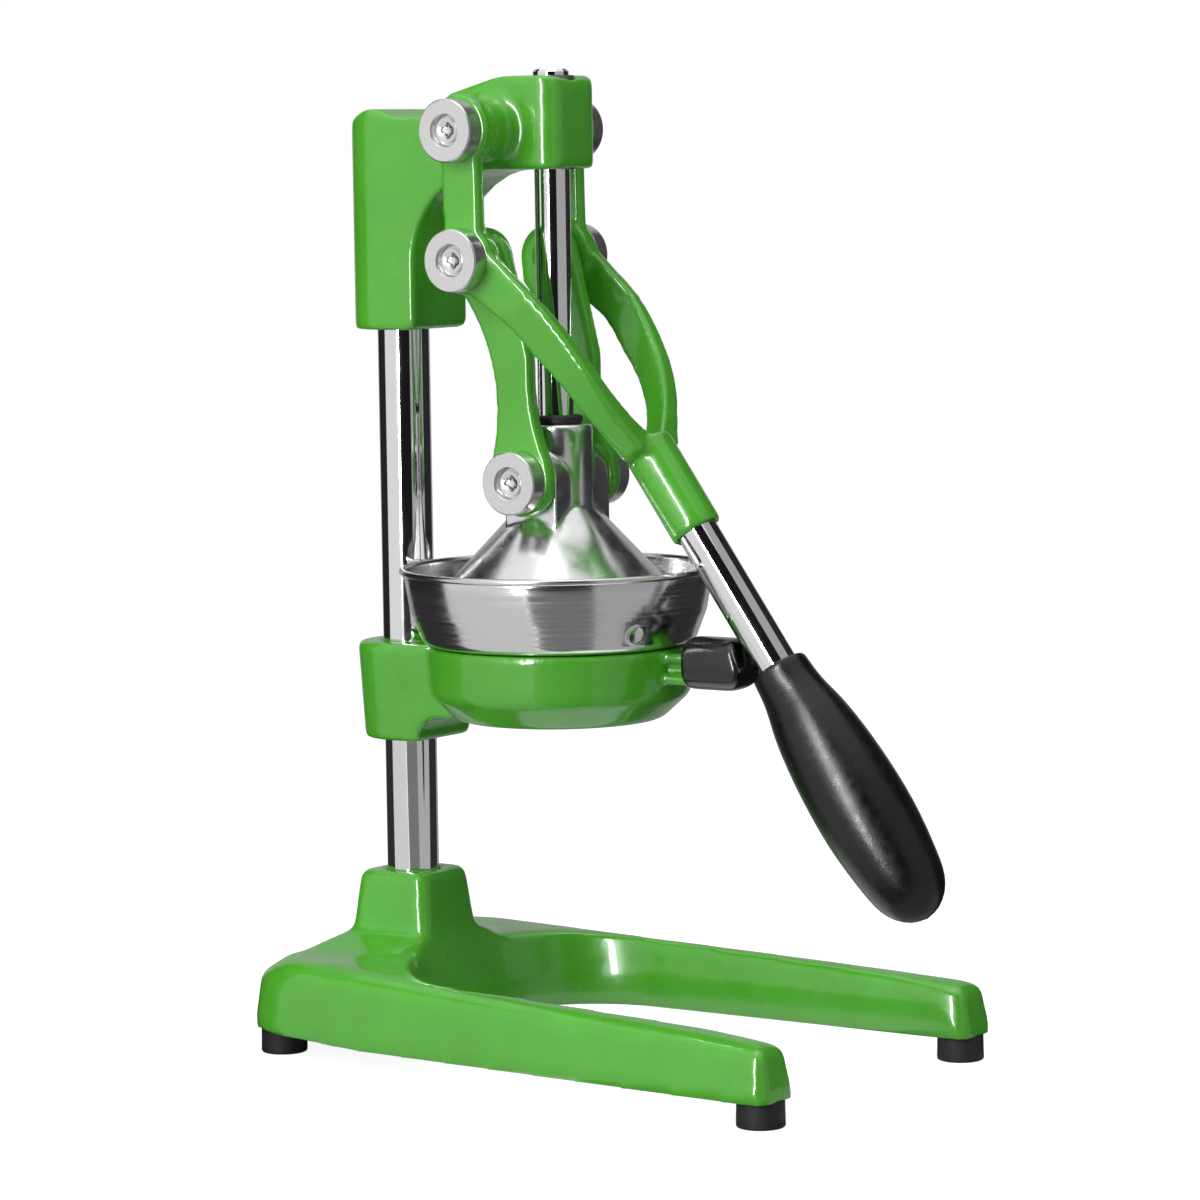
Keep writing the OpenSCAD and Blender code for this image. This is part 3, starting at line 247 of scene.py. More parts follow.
class Shader:
    """A Principled material with the nodes that vary it over a surface, in object coordinates."""

    def __init__(self, name, colour, roughness, metallic=0.0):
        self.material = bpy.data.materials.new(name)
        self.material.use_nodes = True
        self.nodes = self.material.node_tree.nodes
        self.links = self.material.node_tree.links
        self.surface = self.nodes["Principled BSDF"]
        self.surface.inputs["Base Color"].default_value = (*colour, 1)
        self.surface.inputs["Roughness"].default_value = roughness
        self.surface.inputs["Metallic"].default_value = metallic
        self.place = self.nodes.new("ShaderNodeTexCoord").outputs["Object"]
        self.height = None

    def rings(self, centre, scale):
        """Fine turning marks in rings round a line across the press through centre."""
        mapping = self.nodes.new("ShaderNodeMapping")
        mapping.inputs["Location"].default_value = (-centre.x, 0, -centre.z)
        mapping.inputs["Scale"].default_value = (1, 0, 1)
        self.links.new(self.place, mapping.inputs["Vector"])
        length = self.nodes.new("ShaderNodeVectorMath")
        length.operation = "LENGTH"
        self.links.new(mapping.outputs["Vector"], length.inputs[0])
        noise = self.nodes.new("ShaderNodeTexNoise")
        noise.noise_dimensions = "1D"
        noise.inputs["Scale"].default_value = scale
        noise.inputs["Detail"].default_value = 3
        self.links.new(length.outputs["Value"], noise.inputs["W"])
        return noise.outputs["Fac"]

    def noise(self, scale, detail=2.0, stretch=(1, 1, 1)):
        """A noise with its own scale per axis."""
        mapping = self.nodes.new("ShaderNodeMapping")
        mapping.inputs["Scale"].default_value = stretch
        self.links.new(self.place, mapping.inputs["Vector"])
        noise = self.nodes.new("ShaderNodeTexNoise")
        noise.inputs["Scale"].default_value = scale
        noise.inputs["Detail"].default_value = detail
        self.links.new(mapping.outputs["Vector"], noise.inputs["Vector"])
        return noise.outputs["Fac"]

    def vary_roughness(self, value, low, high):
        span = self.nodes.new("ShaderNodeMapRange")
        span.inputs["From Min"].default_value = 0.3
        span.inputs["From Max"].default_value = 0.7
        span.inputs["To Min"].default_value = low
        span.inputs["To Max"].default_value = high
        self.links.new(value, span.inputs["Value"])
        self.links.new(span.outputs["Result"], self.surface.inputs["Roughness"])

    def vary_colour(self, value, first, second):
        ramp = self.nodes.new("ShaderNodeValToRGB")
        ramp.color_ramp.elements[0].position = 0.3
        ramp.color_ramp.elements[1].position = 0.7
        ramp.color_ramp.elements[0].color = (*first, 1)
        ramp.color_ramp.elements[1].color = (*second, 1)
        self.links.new(value, ramp.inputs["Fac"])
        self.links.new(ramp.outputs["Color"], self.surface.inputs["Base Color"])

    def bump(self, value, depth):
        """Adds a relief of that depth in metres over what is there already."""
        bump = self.nodes.new("ShaderNodeBump")
        bump.inputs["Distance"].default_value = depth
        self.links.new(value, bump.inputs["Height"])
        if self.height is not None:
            self.links.new(self.height, bump.inputs["Normal"])
        self.height = bump.outputs["Normal"]
        self.links.new(self.height, self.surface.inputs["Normal"])

    def coat(self, weight, roughness):
        self.surface.inputs["Coat Weight"].default_value = weight
        self.surface.inputs["Coat Roughness"].default_value = roughness


def green_enamel(looks):
    """Thick gloss enamel on a rough casting: orange peel over broad unevenness."""
    shader = Shader("green_enamel", looks.green, 0.25)
    shader.coat(0.6, 0.06)
    patch = shader.noise(28, detail=3)
    light = tuple(min(1, c * 1.08) for c in looks.green)
    deep = tuple(c * 0.92 for c in looks.green)
    shader.vary_colour(patch, deep, light)
    shader.vary_roughness(shader.noise(90, detail=3), 0.2, 0.3)
    shader.bump(shader.noise(70, detail=2), 0.3 * MM)
    shader.bump(shader.noise(300, detail=3), looks.orange_peel)
    return shader.material


def chrome(looks):
    """Polished chrome plate with the faint lengthwise haze of a drawn bar."""
    shader = Shader("chrome", (0.83, 0.83, 0.84), 0.05, 1.0)
    shader.vary_roughness(shader.noise(60, detail=4), 0.035, 0.09)
    shader.bump(shader.noise(45, detail=2), 0.01 * MM)
    return shader.material


def satin_caps(name, centre):
    """Fine-turned steel with rings round a pivot's axis."""
    shader = Shader(name, (0.72, 0.72, 0.72), 0.3, 1.0)
    marks = shader.rings(centre, 3200)
    shader.vary_roughness(marks, 0.24, 0.38)
    shader.bump(marks, 0.01 * MM)
    return shader.material


def bright_steel(looks):
    """Zinc plated screws and pins."""
    shader = Shader("bright_steel", (0.78, 0.78, 0.79), 0.2, 1.0)
    shader.vary_roughness(shader.noise(700, detail=3), 0.15, 0.28)
    shader.bump(shader.noise(1500, detail=2), 0.004 * MM)
    return shader.material


def stainless(looks):
    """Sheet steel brushed round the bowl."""
    shader = Shader("stainless", (0.72, 0.72, 0.72), 0.2, 1.0)
    lines = shader.noise(1, detail=5, stretch=(9, 9, 1000))
    shader.vary_roughness(lines, 0.1, 0.26)
    shader.bump(lines, 0.02 * MM)
    return shader.material


def cast_aluminium(looks):
    """Polished cast aluminium with slight waves."""
    shader = Shader("cast_aluminium", (0.78, 0.78, 0.79), 0.2, 1.0)
    shader.vary_roughness(shader.noise(160, detail=4), 0.17, 0.28)
    shader.bump(shader.noise(55, detail=2), 0.12 * MM)
    shader.bump(shader.noise(1200, detail=2), 0.004 * MM)
    return shader.material


def bronze(looks):
    """Sintered bronze of the bush, oily and slightly pitted."""
    shader = Shader("bush_bronze", (0.3, 0.27, 0.22), 0.45, 1.0)
    shader.vary_roughness(shader.noise(1400, detail=3), 0.3, 0.5)
    shader.bump(shader.noise(2600, detail=2), 0.01 * MM)
    return shader.material


def black_oxide(looks):
    """Blackened set screws."""
    shader = Shader("black_oxide", (0.03, 0.03, 0.032), 0.4, 0.6)
    shader.vary_roughness(shader.noise(1200, detail=3), 0.32, 0.5)
    shader.bump(shader.noise(2600, detail=2), 0.006 * MM)
    return shader.material


def black_rubber(looks):
    """Matt moulded rubber of the feet."""
    shader = Shader("black_rubber", (0.008, 0.008, 0.008), 0.55)
    shader.vary_roughness(shader.noise(400, detail=4), 0.5, 0.72)
    shader.bump(shader.noise(2200, detail=3), 0.03 * MM)
    return shader.material


def stop_rubber(looks):
    """Glossy moulded rubber of the handle's stop."""
    shader = Shader("stop_rubber", (0.0015, 0.0015, 0.0015), 0.24)
    shader.coat(0.5, 0.12)
    shader.vary_roughness(shader.noise(120, detail=4), 0.16, 0.28)
    shader.bump(shader.noise(90, detail=2), 0.08 * MM)
    return shader.material


def grip_plastic(looks):
    """Black grip with a fine leather-like grain."""
    shader = Shader("grip_plastic", looks.grip, 0.28)
    shader.vary_roughness(shader.noise(260, detail=4), 0.24, 0.36)
    shader.bump(shader.noise(1500, detail=3), looks.grip_grain)
    shader.bump(shader.noise(120, detail=2), 0.05 * MM)
    return shader.material


FINISHES = {
    "green_paint": green_enamel,
    "chrome": chrome,
    "bright_steel": bright_steel,
    "stainless": stainless,
    "cast_aluminium": cast_aluminium,
    "bush_bronze": bronze,
    "black_oxide": black_oxide,
    "black_rubber": black_rubber,
    "stop_rubber": stop_rubber,
    "grip_plastic": grip_plastic,
}


def finish_of(node):
    """The material of a node's slot, made once."""
    slot = SLOT_OF[node]
    known = bpy.data.materials.get(f"press_{slot}")
    if known:
        return known
    material = FINISHES[slot](bpy.context.scene.press_looks)
    material.name = f"press_{slot}"
    return material


class PressLooks(bpy.types.PropertyGroup):
    """Colours and surface relief."""

    green: bpy.props.FloatVectorProperty(
        name="Green", description="Colour of the enamel", subtype="COLOR", default=(0.078, 0.42, 0.022)
    )
    grip: bpy.props.FloatVectorProperty(
        name="Grip", description="Colour of the grip", subtype="COLOR", default=(0.0015, 0.0015, 0.0015)
    )
    orange_peel: bpy.props.FloatProperty(
        name="Orange peel", description="Depth of the enamel's orange peel", unit="LENGTH", default=0.07 * MM
    )
    grip_grain: bpy.props.FloatProperty(
        name="Grip grain", description="Depth of the grip's grain", unit="LENGTH", default=0.05 * MM
    )


class PressSizes(bpy.types.PropertyGroup):
    """Sizes of the softened and turned pieces."""

    voxel: bpy.props.FloatProperty(
        name="Casting mesh", description="Mesh size of the castings", unit="LENGTH", default=0.85 * MM
    )
    stand_voxel: bpy.props.FloatProperty(
        name="Stand mesh", description="Mesh size of the stand", unit="LENGTH", default=1.35 * MM
    )
    casting_passes: bpy.props.IntProperty(
        name="Rounding", description="Smoothing passes that round a casting's edges", default=28
    )
    cone_passes: bpy.props.IntProperty(
        name="Cone rounding", description="Smoothing passes that round the press cone's edges", default=8
    )
    cover_voxel: bpy.props.FloatProperty(
        name="Cover mesh", description="Mesh size of the stop's cover", unit="LENGTH", default=0.6 * MM
    )
    cover_passes: bpy.props.IntProperty(
        name="Cover rounding", description="Smoothing passes that round the stop's cover", default=60
    )
    handle_drop: bpy.props.FloatProperty(
        name="Handle slope", description="Slope of the handle", subtype="ANGLE", default=math.radians(54.7)
    )
    grip: bpy.props.FloatProperty(
        name="Grip length", description="Length of the grip", unit="LENGTH", default=112.4 * MM
    )
    cap: bpy.props.FloatProperty(
        name="Cap", description="Thickness of a pin cap", unit="LENGTH", default=7.4 * MM
    )
    cap_recess: bpy.props.FloatProperty(
        name="Cap recess", description="Radius of the recess in a pin cap", unit="LENGTH", default=6.2 * MM
    )
    cap_depth: bpy.props.FloatProperty(
        name="Recess depth", description="Depth of the recess in a pin cap", unit="LENGTH", default=3.4 * MM
    )
    cap_bore: bpy.props.FloatProperty(
        name="Cap bore", description="Radius of the bore in a pin cap", unit="LENGTH", default=2.55 * MM
    )
    dish: bpy.props.FloatProperty(
        name="Dish", description="Height of the holder's dish", unit="LENGTH", default=29.8 * MM
    )
    sheet: bpy.props.FloatProperty(
        name="Bowl sheet", description="Thickness of the bowl's sheet", unit="LENGTH", default=1.2 * MM
    )
    bead: bpy.props.FloatProperty(
        name="Rolled rim", description="Radius of the bowl's rolled rim", unit="LENGTH", default=1.3 * MM
    )
    bowl_depth: bpy.props.FloatProperty(
        name="Bowl depth", description="Depth of the bowl from rim to seat", unit="LENGTH", default=29.2 * MM
    )
    spout: bpy.props.FloatProperty(
        name="Spout", description="Radius of the bowl's spout", unit="LENGTH", default=12 * MM
    )
    funnel_depth: bpy.props.FloatProperty(
        name="Spout length", description="Height of the bowl's spout", unit="LENGTH", default=8 * MM
    )
    dimple: bpy.props.FloatProperty(
        name="Dimple", description="Radius of the bowl's pressed dimple", unit="LENGTH", default=4.0 * MM
    )


class StageSettings(bpy.types.PropertyGroup):
    """Lights, floor and the camera's place."""

    azimuth: bpy.props.FloatProperty(
        name="Azimuth", description="Camera's turn round the press", subtype="ANGLE",
        default=math.radians(34.2)
    )
    elevation: bpy.props.FloatProperty(
        name="Elevation", description="Camera's height angle", subtype="ANGLE", default=math.radians(5.56)
    )
    roll: bpy.props.FloatProperty(
        name="Roll", description="Camera's roll", subtype="ANGLE", default=math.radians(0.82)
    )
    distance: bpy.props.FloatProperty(
        name="Distance", description="Camera's distance from the press", unit="LENGTH", default=1.84439
    )
    lens: bpy.props.FloatProperty(name="Lens", description="Focal length in millimetres", default=141.26)
    key_power: bpy.props.FloatProperty(
        name="Key light", description="Power of the key light", default=33.0
    )
    top_power: bpy.props.FloatProperty(
        name="Top light", description="Power of the top light", default=15.0
    )
    fill_power: bpy.props.FloatProperty(
        name="Fill light", description="Power of the fill light", default=10.0
    )
    world_fill: bpy.props.FloatProperty(
        name="Room light", description="Strength of the even light of the room", default=0.25
    )
    floor_glow: bpy.props.FloatProperty(
        name="Floor glow", description="Part of the floor's white that takes no shadow", default=0.9
    )


def fine_socket():
    """The lever's tube socket, turned finely and with a rounded mouth."""
    start, end = handle_ends("handle_tube")
    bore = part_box("handle_tube")[1].y + BORE_GAP
    outer = bore + 2.2 * MM
    root, mouth = -9 * MM, 32 * MM
    outer_edge, bore_edge = 1.6 * MM, 0.4 * MM
    profile = rounded([
        (0, root, 0), (outer, root, 0), (outer, mouth, outer_edge), (bore, mouth, bore_edge),
        (bore, 0, 0), (0, 0, 0),
    ])
    return turned("socket", profile, along(start, end - start))


def fine_dish(sizes):
    """The holder's dish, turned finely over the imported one."""
    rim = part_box("bowl")[1].z - sizes.bead - sizes.bowl_depth
    foot = rim - sizes.dish
    knee = rim - sizes.dish * 0.65
    hole, wall = 14 * MM, 5 * MM
    outer, knee_lean, foot_r = 53.07 * MM, 1.5 * MM, 40.1 * MM
    inner_rim, inner_knee = 48 * MM, 46.5 * MM
    foot_sink = 0.05 * MM
    foot_edge, knee_edge = 7 * MM, 6 * MM
    profile = rounded([
        (hole, foot, 0), (foot_r, foot - foot_sink, foot_edge), (outer - knee_lean, knee, knee_edge),
        (outer, rim, 0), (inner_rim, rim, 0), (inner_knee, knee, knee_edge),
        (foot_r - wall, foot + wall, foot_edge), (hole, foot + wall, 0), (hole, foot, 0),
    ])
    return turned("dish", profile, Matrix.Translation((PRESS_X, 0, 0)), segments=180)


class PRESS_OT_castings(bpy.types.Operator):
    """Makes the green castings with softly rounded edges"""

    bl_idname = "press.castings"
    bl_label = "Castings"

    def execute(self, context):
        sizes = context.scene.press_sizes
        extras = {"lever": [fine_socket], "holder": [lambda: fine_dish(sizes)]}
        for node in ("base", "head", "holder", "lever", "link_right", "link_left"):
            pieces = [copy_node(node, f"{node}_casting")] + [make() for make in extras.get(node, [])]
            piece = join(f"{node}_casting", *pieces)
            voxel = sizes.stand_voxel if node == "base" else sizes.voxel
            soften(piece, voxel, sizes.casting_passes)
            if node == "base":
                level_rim(piece)
            finish(piece, finish_of(node), node)
        return {"FINISHED"}


class PRESS_OT_cone(bpy.types.Operator):
    """Makes the polished press cone with its hub and ears"""

    bl_idname = "press.cone"
    bl_label = "Press cone"

    def execute(self, context):
        sizes = context.scene.press_sizes
        piece = copy_node("press_cone", "press_cone_casting")
        soften(piece, sizes.voxel, sizes.cone_passes)
        finish(piece, finish_of("press_cone"), "press_cone")
        return {"FINISHED"}


class PRESS_OT_bars(bpy.types.Operator):
    """Makes the chromed column, guide rod and handle tube"""

    bl_idname = "press.bars"
    bl_label = "Chromed bars"

    def execute(self, context):
        for node in ("column", "guide_rod"):
            low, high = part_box(node)
            profile = chamfered((high.y - low.y) / 2, low.z, high.z, 1 * MM)
            piece = turned(f"{node}_bar", profile, Matrix.Translation((middle(node).x, 0, 0)))
            finish(piece, finish_of(node), node)
        start, end = handle_ends("handle_tube")
        profile = chamfered(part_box("handle_tube")[1].y, 0, (end - start).length, 0.5 * MM)
        piece = turned("handle_tube_bar", profile, along(start, end - start))
        finish(piece, finish_of("handle_tube"), "handle_tube")
        return {"FINISHED"}


class PRESS_OT_pivots(bpy.types.Operator):
    """Makes the pins, their turned caps and the screws that hold them"""

    bl_idname = "press.pivots"
    bl_label = "Pivots"

    def execute(self, context):
        sizes = context.scene.press_sizes
        for axle in ("lever_axle", "link_pins", "press_pins"):
            stem = axle.rstrip("s") if axle != "lever_axle" else axle
            for node in (axle, f"{stem}_screws"):
                piece = copy_node(node, f"{node}_turned")
                smooth_shade(piece, CRISP)
                finish(piece, finish_of(node), node)
            node = f"{stem}_caps"
            low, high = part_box(node)
            radius = (high.z - low.z) / 2
            inner = middle(f"{stem}_screws")
            centre = Vector((middle(node).x, 0, inner.z))
            thickness = sizes.cap
            profile = cap_profile(radius, thickness, sizes.cap_recess, sizes.cap_depth, sizes.cap_bore)
            caps = []
            for side in (-1, 1):
                start = centre + Vector((0, side * (high.y - thickness), 0))
                caps.append(turned(f"{node}_{side}", profile, along(start, (0, side, 0)), angle=25))
            piece = join(f"{node}_turned", *caps)
            finish(piece, satin_caps(f"press_satin_{stem}", centre), node)
        return {"FINISHED"}


# The dimple's relief in shares of its radius: how far its mesh is refined, where its ring lies and
# how wide and high it is, and how wide and deep its hollow is
DIMPLE_REACH = 1.9
RING_PLACE, RING_WIDTH, RING_HEIGHT = 0.8, 0.17, 0.1
HOLLOW_WIDTH, HOLLOW_DEPTH = 0.34, 0.16


def press_dimple(piece, spot, outward, radius):
    """Presses a round mark with a raised ring into the bowl's outer wall."""
    activate(piece)
    bpy.ops.object.mode_set(mode="EDIT")
    bpy.ops.mesh.select_mode(type="FACE")
    bpy.ops.mesh.select_all(action="DESELECT")
    bpy.ops.object.mode_set(mode="OBJECT")
    for face in piece.data.polygons:
        near = (face.center - spot).length < DIMPLE_REACH * radius
        face.select = near and face.normal.dot(outward) > 0.5
    bpy.ops.object.mode_set(mode="EDIT")
    bpy.ops.mesh.subdivide(number_cuts=4)
    bpy.ops.object.mode_set(mode="OBJECT")
    for vertex in piece.data.vertices:
        if not vertex.select:
            continue
        offset = vertex.co - spot
        offset -= outward * offset.dot(outward)
        reach = offset.length / radius
        ring = RING_HEIGHT * math.exp(-(((reach - RING_PLACE) / RING_WIDTH) ** 2))
        hollow = HOLLOW_DEPTH * math.exp(-((reach / HOLLOW_WIDTH) ** 2))
        vertex.co += outward * (ring - hollow) * radius
    smooth_shade(piece, math.radians(40))


class PRESS_OT_bowl(bpy.types.Operator):
    """Makes the bowl with its rolled rim, and the strainer"""

    bl_idname = "press.bowl"
    bl_label = "Bowl and strainer"

    def execute(self, context):
        sizes = context.scene.press_sizes
        low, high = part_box("bowl")
        sheet, bead = sizes.sheet, sizes.bead
        rim = high.z - bead
        rim_r = (high.x - low.x) / 2 - bead
        floor = rim - sizes.bowl_depth
        funnel = low.z + sizes.funnel_depth
        knuckle = 5 * MM
        mid_r, foot_r = rim_r - 2.9 * MM, rim_r - 6.3 * MM
        mid_z = rim - 16.06 * MM
        funnel_top_r, funnel_r, funnel_drop = 46.5 * MM, 45.5 * MM, 9 * MM
        lip, outer_drop, inner_drop = 0.55 * MM, 2.2 * MM, 1.6 * MM
        outside = [(sizes.spout, low.z), (sizes.spout, funnel), (funnel_r, floor - funnel_drop),
                   (funnel_top_r, floor), (foot_r - knuckle, floor)]
        outside += arc((foot_r - knuckle, floor + knuckle), knuckle, -75, -12, 7)
        foot_end = len(outside)
        rows = 6
        first = Vector(outside[-1])
        outside += [tuple(first.lerp(Vector((mid_r, mid_z)), k / rows)) for k in range(1, rows + 1)]
        outside += [(rim_r - lip, rim - outer_drop)]
        roll = arc((rim_r, rim), bead, -125, 190, 16)
        inside = [(rim_r - sheet, rim - inner_drop), (mid_r - sheet, mid_z)]
        inside += [(r - sheet, z) for r, z in reversed(outside[4:foot_end - 1])]
        inside += [(funnel_top_r - sheet, floor + sheet), (funnel_r - sheet, floor - funnel_drop + sheet)]
        inside += [(sizes.spout - sheet, funnel + sheet), (sizes.spout - sheet, low.z), outside[0]]
        profile = outside + roll + inside
        place = Matrix.Translation((PRESS_X, 0, 0))
        piece = turned("bowl_sheet", profile, place, segments=160, angle=40)
        bearing, dimple_z = math.radians(-23.8), floor + 7.4 * MM
        outward = Vector((math.cos(bearing), math.sin(bearing), 0))
        spot = Vector((PRESS_X, 0, dimple_z)) + outward * mid_r
        press_dimple(piece, spot, outward, sizes.dimple)
        finish(piece, finish_of("bowl"), "bowl")
        piece = copy_node("strainer", "strainer_sheet")
        smooth_shade(piece, CRISP)
        finish(piece, finish_of("strainer"), "strainer")
        return {"FINISHED"}


# Radius of the grip along its length, as shares of its length and its greatest radius
GRIP_SHARES = (
    (0, 0.55), (0.004, 0.59), (0.014, 0.615), (0.06, 0.628), (0.11, 0.667), (0.16, 0.743), (0.21, 0.816),
    (0.27, 0.876), (0.37, 0.946), (0.47, 0.984), (0.58, 1), (0.68, 0.973), (0.78, 0.903), (0.85, 0.84),
    (0.9, 0.77), (0.95, 0.6), (0.985, 0.34), (1, 0),
)


class PRESS_OT_handle(bpy.types.Operator):
    """Makes the grip of the handle"""

    bl_idname = "press.handle"
    bl_label = "Grip"

    def execute(self, context):
        sizes = context.scene.press_sizes
        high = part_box("grip")[1]
        radius = high.y
        tube_start, tube_end = handle_ends("handle_tube")
        axis = (tube_end - tube_start).normalized()
        collar = radius * GRIP_SHARES[0][1]
        start_z = high.z - collar * math.cos(sizes.handle_drop)
        start = tube_start + axis * ((start_z - tube_start.z) / axis.z)
        length = sizes.grip
        profile = [(0, 0)] + [(r * radius, u * length) for u, r in GRIP_SHARES]
        piece = turned("grip_moulding", profile, along(start, axis), segments=64, angle=60, levels=1)
        finish(piece, finish_of("grip"), "grip")
        return {"FINISHED"}


class PRESS_OT_rubbers(bpy.types.Operator):
    """Makes the feet, the stop's cover and the buffer"""

    bl_idname = "press.rubbers"
    bl_label = "Rubber parts"

    def execute(self, context):
        sizes = context.scene.press_sizes
        cover = copy_node("bumper", "bumper_cover")
        soften(cover, sizes.cover_voxel, sizes.cover_passes)
        finish(cover, finish_of("bumper"), "bumper")
        bore, recess, recess_top = 2.05 * MM, 4.8 * MM, 4 * MM
        toe, toe_step, lean = 1 * MM, 0.1 * MM, 0.15 * MM
        for node in [f"rubber_foot_{end}_{side}" for end in ("rear", "front") for side in ("right", "left")]:
            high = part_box(node)[1]
            radius = high.x - middle(node).x
            profile = [(bore, high.z), (bore, recess_top), (recess, recess_top), (recess, 0),
                       (radius - toe - toe_step, 0)]
            profile += arc((radius - toe, toe), toe, -75, 0, 5)
            profile += [(radius - lean, high.z), (bore, high.z)]
            place = Matrix.Translation((middle(node).x, middle(node).y, 0))
            piece = turned(f"{node}_moulding", profile, place, segments=64)
            finish(piece, finish_of(node), node)
        low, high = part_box("rod_buffer")
        radius, bore = high.y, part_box("guide_rod")[1].y + BORE_GAP
        edge = 0.7 * MM
        profile = [(bore, low.z), (radius - edge, low.z), (radius, low.z + edge), (radius, high.z - edge),
                   (radius - edge, high.z), (bore, high.z), (bore, low.z)]
        piece = turned("rod_buffer_moulding", profile, Matrix.Translation((PRESS_X, 0, 0)), segments=64)
        finish(piece, finish_of("rod_buffer"), "rod_buffer")
        return {"FINISHED"}


class PRESS_OT_fasteners(bpy.types.Operator):
    """Makes the bush, bolts, washers and screws"""

    bl_idname = "press.fasteners"
    bl_label = "Fasteners"

    def execute(self, context):
        for node in ("guide_bush", "column_bolt", "column_washer", "foot_screws", "rod_screw",
                     "head_set_screws", "holder_set_screws"):
            piece = copy_node(node, f"{node}_part")
            smooth_shade(piece, CRISP)
            finish(piece, finish_of(node), node)
        return {"FINISHED"}


def handle_ends(node):
    """The two ends on the middle line of a round node along the handle, upper end first."""
    low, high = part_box(node)
    radius = high.y
    drop = bpy.context.scene.press_sizes.handle_drop
    across, over = radius * math.sin(drop), radius * math.cos(drop)
    return Vector((low.x + across, 0, high.z - over)), Vector((high.x - across, 0, low.z + over))


def cap_profile(radius, thickness, recess, depth, bore):
    """Profile of a cap from its bore round its inner face, rim and recess back to the bore."""
    edge = 0.55 * MM
    lip = 0.35 * MM
    bed = thickness - depth
    return [
        (bore, 0), (radius - edge, 0), (radius, edge), (radius, thickness - edge),
        (radius - edge, thickness), (recess + lip, thickness), (recess, thickness - lip),
        (recess, bed + lip), (recess - lip, bed), (bore, bed), (bore, 0),
    ]


# The height that camera and lights aim at, and how far the camera stands right of it and below it
AIM_HEIGHT = 0.2
CAMERA_RIGHT, CAMERA_BELOW = 16.44 * MM, 18.34 * MM


def camera_place(stage):
    """Where the camera stands and how it is turned."""
    az, el, roll = stage.azimuth, stage.elevation, stage.roll
    forward = Vector((-math.sin(az) * math.cos(el), math.cos(az) * math.cos(el), -math.sin(el)))
    level = Vector((math.cos(az), math.sin(az), 0))
    down = forward.cross(level)
    right = level * math.cos(roll) + down * math.sin(roll)
    below = down * math.cos(roll) - level * math.sin(roll)
    aim = Vector((PRESS_X, 0, AIM_HEIGHT))
    spot = aim - forward * stage.distance + right * CAMERA_RIGHT + below * CAMERA_BELOW
    turn = Matrix((right, -below, -forward)).transposed().to_4x4()
    return Matrix.Translation(spot) @ turn


def soft_light(name, power, size, place):
    """A soft rectangular light that faces the press. Metal and paint mirror the cards instead of it."""
    data = bpy.data.lights.new(name, "AREA")
    data.shape = "RECTANGLE"
    data.size, data.size_y = size
    data.energy = power
    light = bpy.data.objects.new(name, data)
    bpy.context.scene.collection.objects.link(light)
    facing = (Vector((0, 0, AIM_HEIGHT)) - Vector(place)).to_track_quat("-Z", "Y").to_matrix().to_4x4()
    light.matrix_world = Matrix.Translation(place) @ facing
    light.visible_glossy = False


def seen_directly(nodes, links):
    """1 where the camera, a mirror or a clear material sees the surface, and 0 for soft light."""
    path = nodes.new("ShaderNodeLightPath")
    value = path.outputs["Is Camera Ray"]
    for ray in ("Is Glossy Ray", "Is Transmission Ray"):
        either = nodes.new("ShaderNodeMath")
        either.operation = "MAXIMUM"
        links.new(value, either.inputs[0])
        links.new(path.outputs[ray], either.inputs[1])
        value = either.outputs[0]
    return value


def floor_material(glow):
    """White floor: part of its white takes no shadow, and the rest is lit."""
    material = bpy.data.materials.new("floor_white")
    material.use_nodes = True
    nodes, links = material.node_tree.nodes, material.node_tree.links
    nodes.clear()
    output = nodes.new("ShaderNodeOutputMaterial")
    diffuse = nodes.new("ShaderNodeBsdfDiffuse")
    diffuse.inputs["Color"].default_value = (0.42, 0.42, 0.42, 1)
    emission = nodes.new("ShaderNodeEmission")
    strength = nodes.new("ShaderNodeMath")
    strength.operation = "MULTIPLY"
    strength.inputs[1].default_value = glow
    links.new(seen_directly(nodes, links), strength.inputs[0])
    links.new(strength.outputs[0], emission.inputs["Strength"])
    total = nodes.new("ShaderNodeAddShader")
    links.new(diffuse.outputs[0], total.inputs[0])
    links.new(emission.outputs[0], total.inputs[1])
    links.new(total.outputs[0], output.inputs["Surface"])
    return material


def light_world(world, fill):
    """A room that is white where it is seen, and a weak even light elsewhere."""
    world.use_nodes = True
    nodes, links = world.node_tree.nodes, world.node_tree.links
    background = nodes["Background"]
    background.inputs["Color"].default_value = (1, 1, 1, 1)
    span = nodes.new("ShaderNodeMapRange")
    span.inputs["To Min"].default_value = fill
    span.inputs["To Max"].default_value = 1.0
    links.new(seen_directly(nodes, links), span.inputs["Value"])
    links.new(span.outputs["Result"], background.inputs["Strength"])


def rectangle(half_x, half_y, height):
    """Corners of a level rectangle over the press."""
    turns = ((-1, -1), (1, -1), (1, 1), (-1, 1))
    return [(x * half_x, y * half_y, height) for x, y in turns]


def reflector(name, corners, brightness):
    """A card that only mirrors see: white paper, grey paper or a black flag."""
    deselect()
    bpy.ops.mesh.primitive_plane_add(size=1)
    card = bpy.context.active_object
    card.name = name
    for vertex, corner in zip(card.data.vertices, (corners[0], corners[1], corners[3], corners[2])):
        vertex.co = corner
    material = bpy.data.materials.new(name)
    material.use_nodes = True
    nodes, links = material.node_tree.nodes, material.node_tree.links
    nodes.clear()
    output = nodes.new("ShaderNodeOutputMaterial")
    emission = nodes.new("ShaderNodeEmission")
    emission.inputs["Strength"].default_value = brightness
    links.new(emission.outputs[0], output.inputs["Surface"])
    card.data.materials.append(material)
    for ray in ("camera", "diffuse", "transmission", "shadow", "volume_scatter"):
        setattr(card, f"visible_{ray}", False)


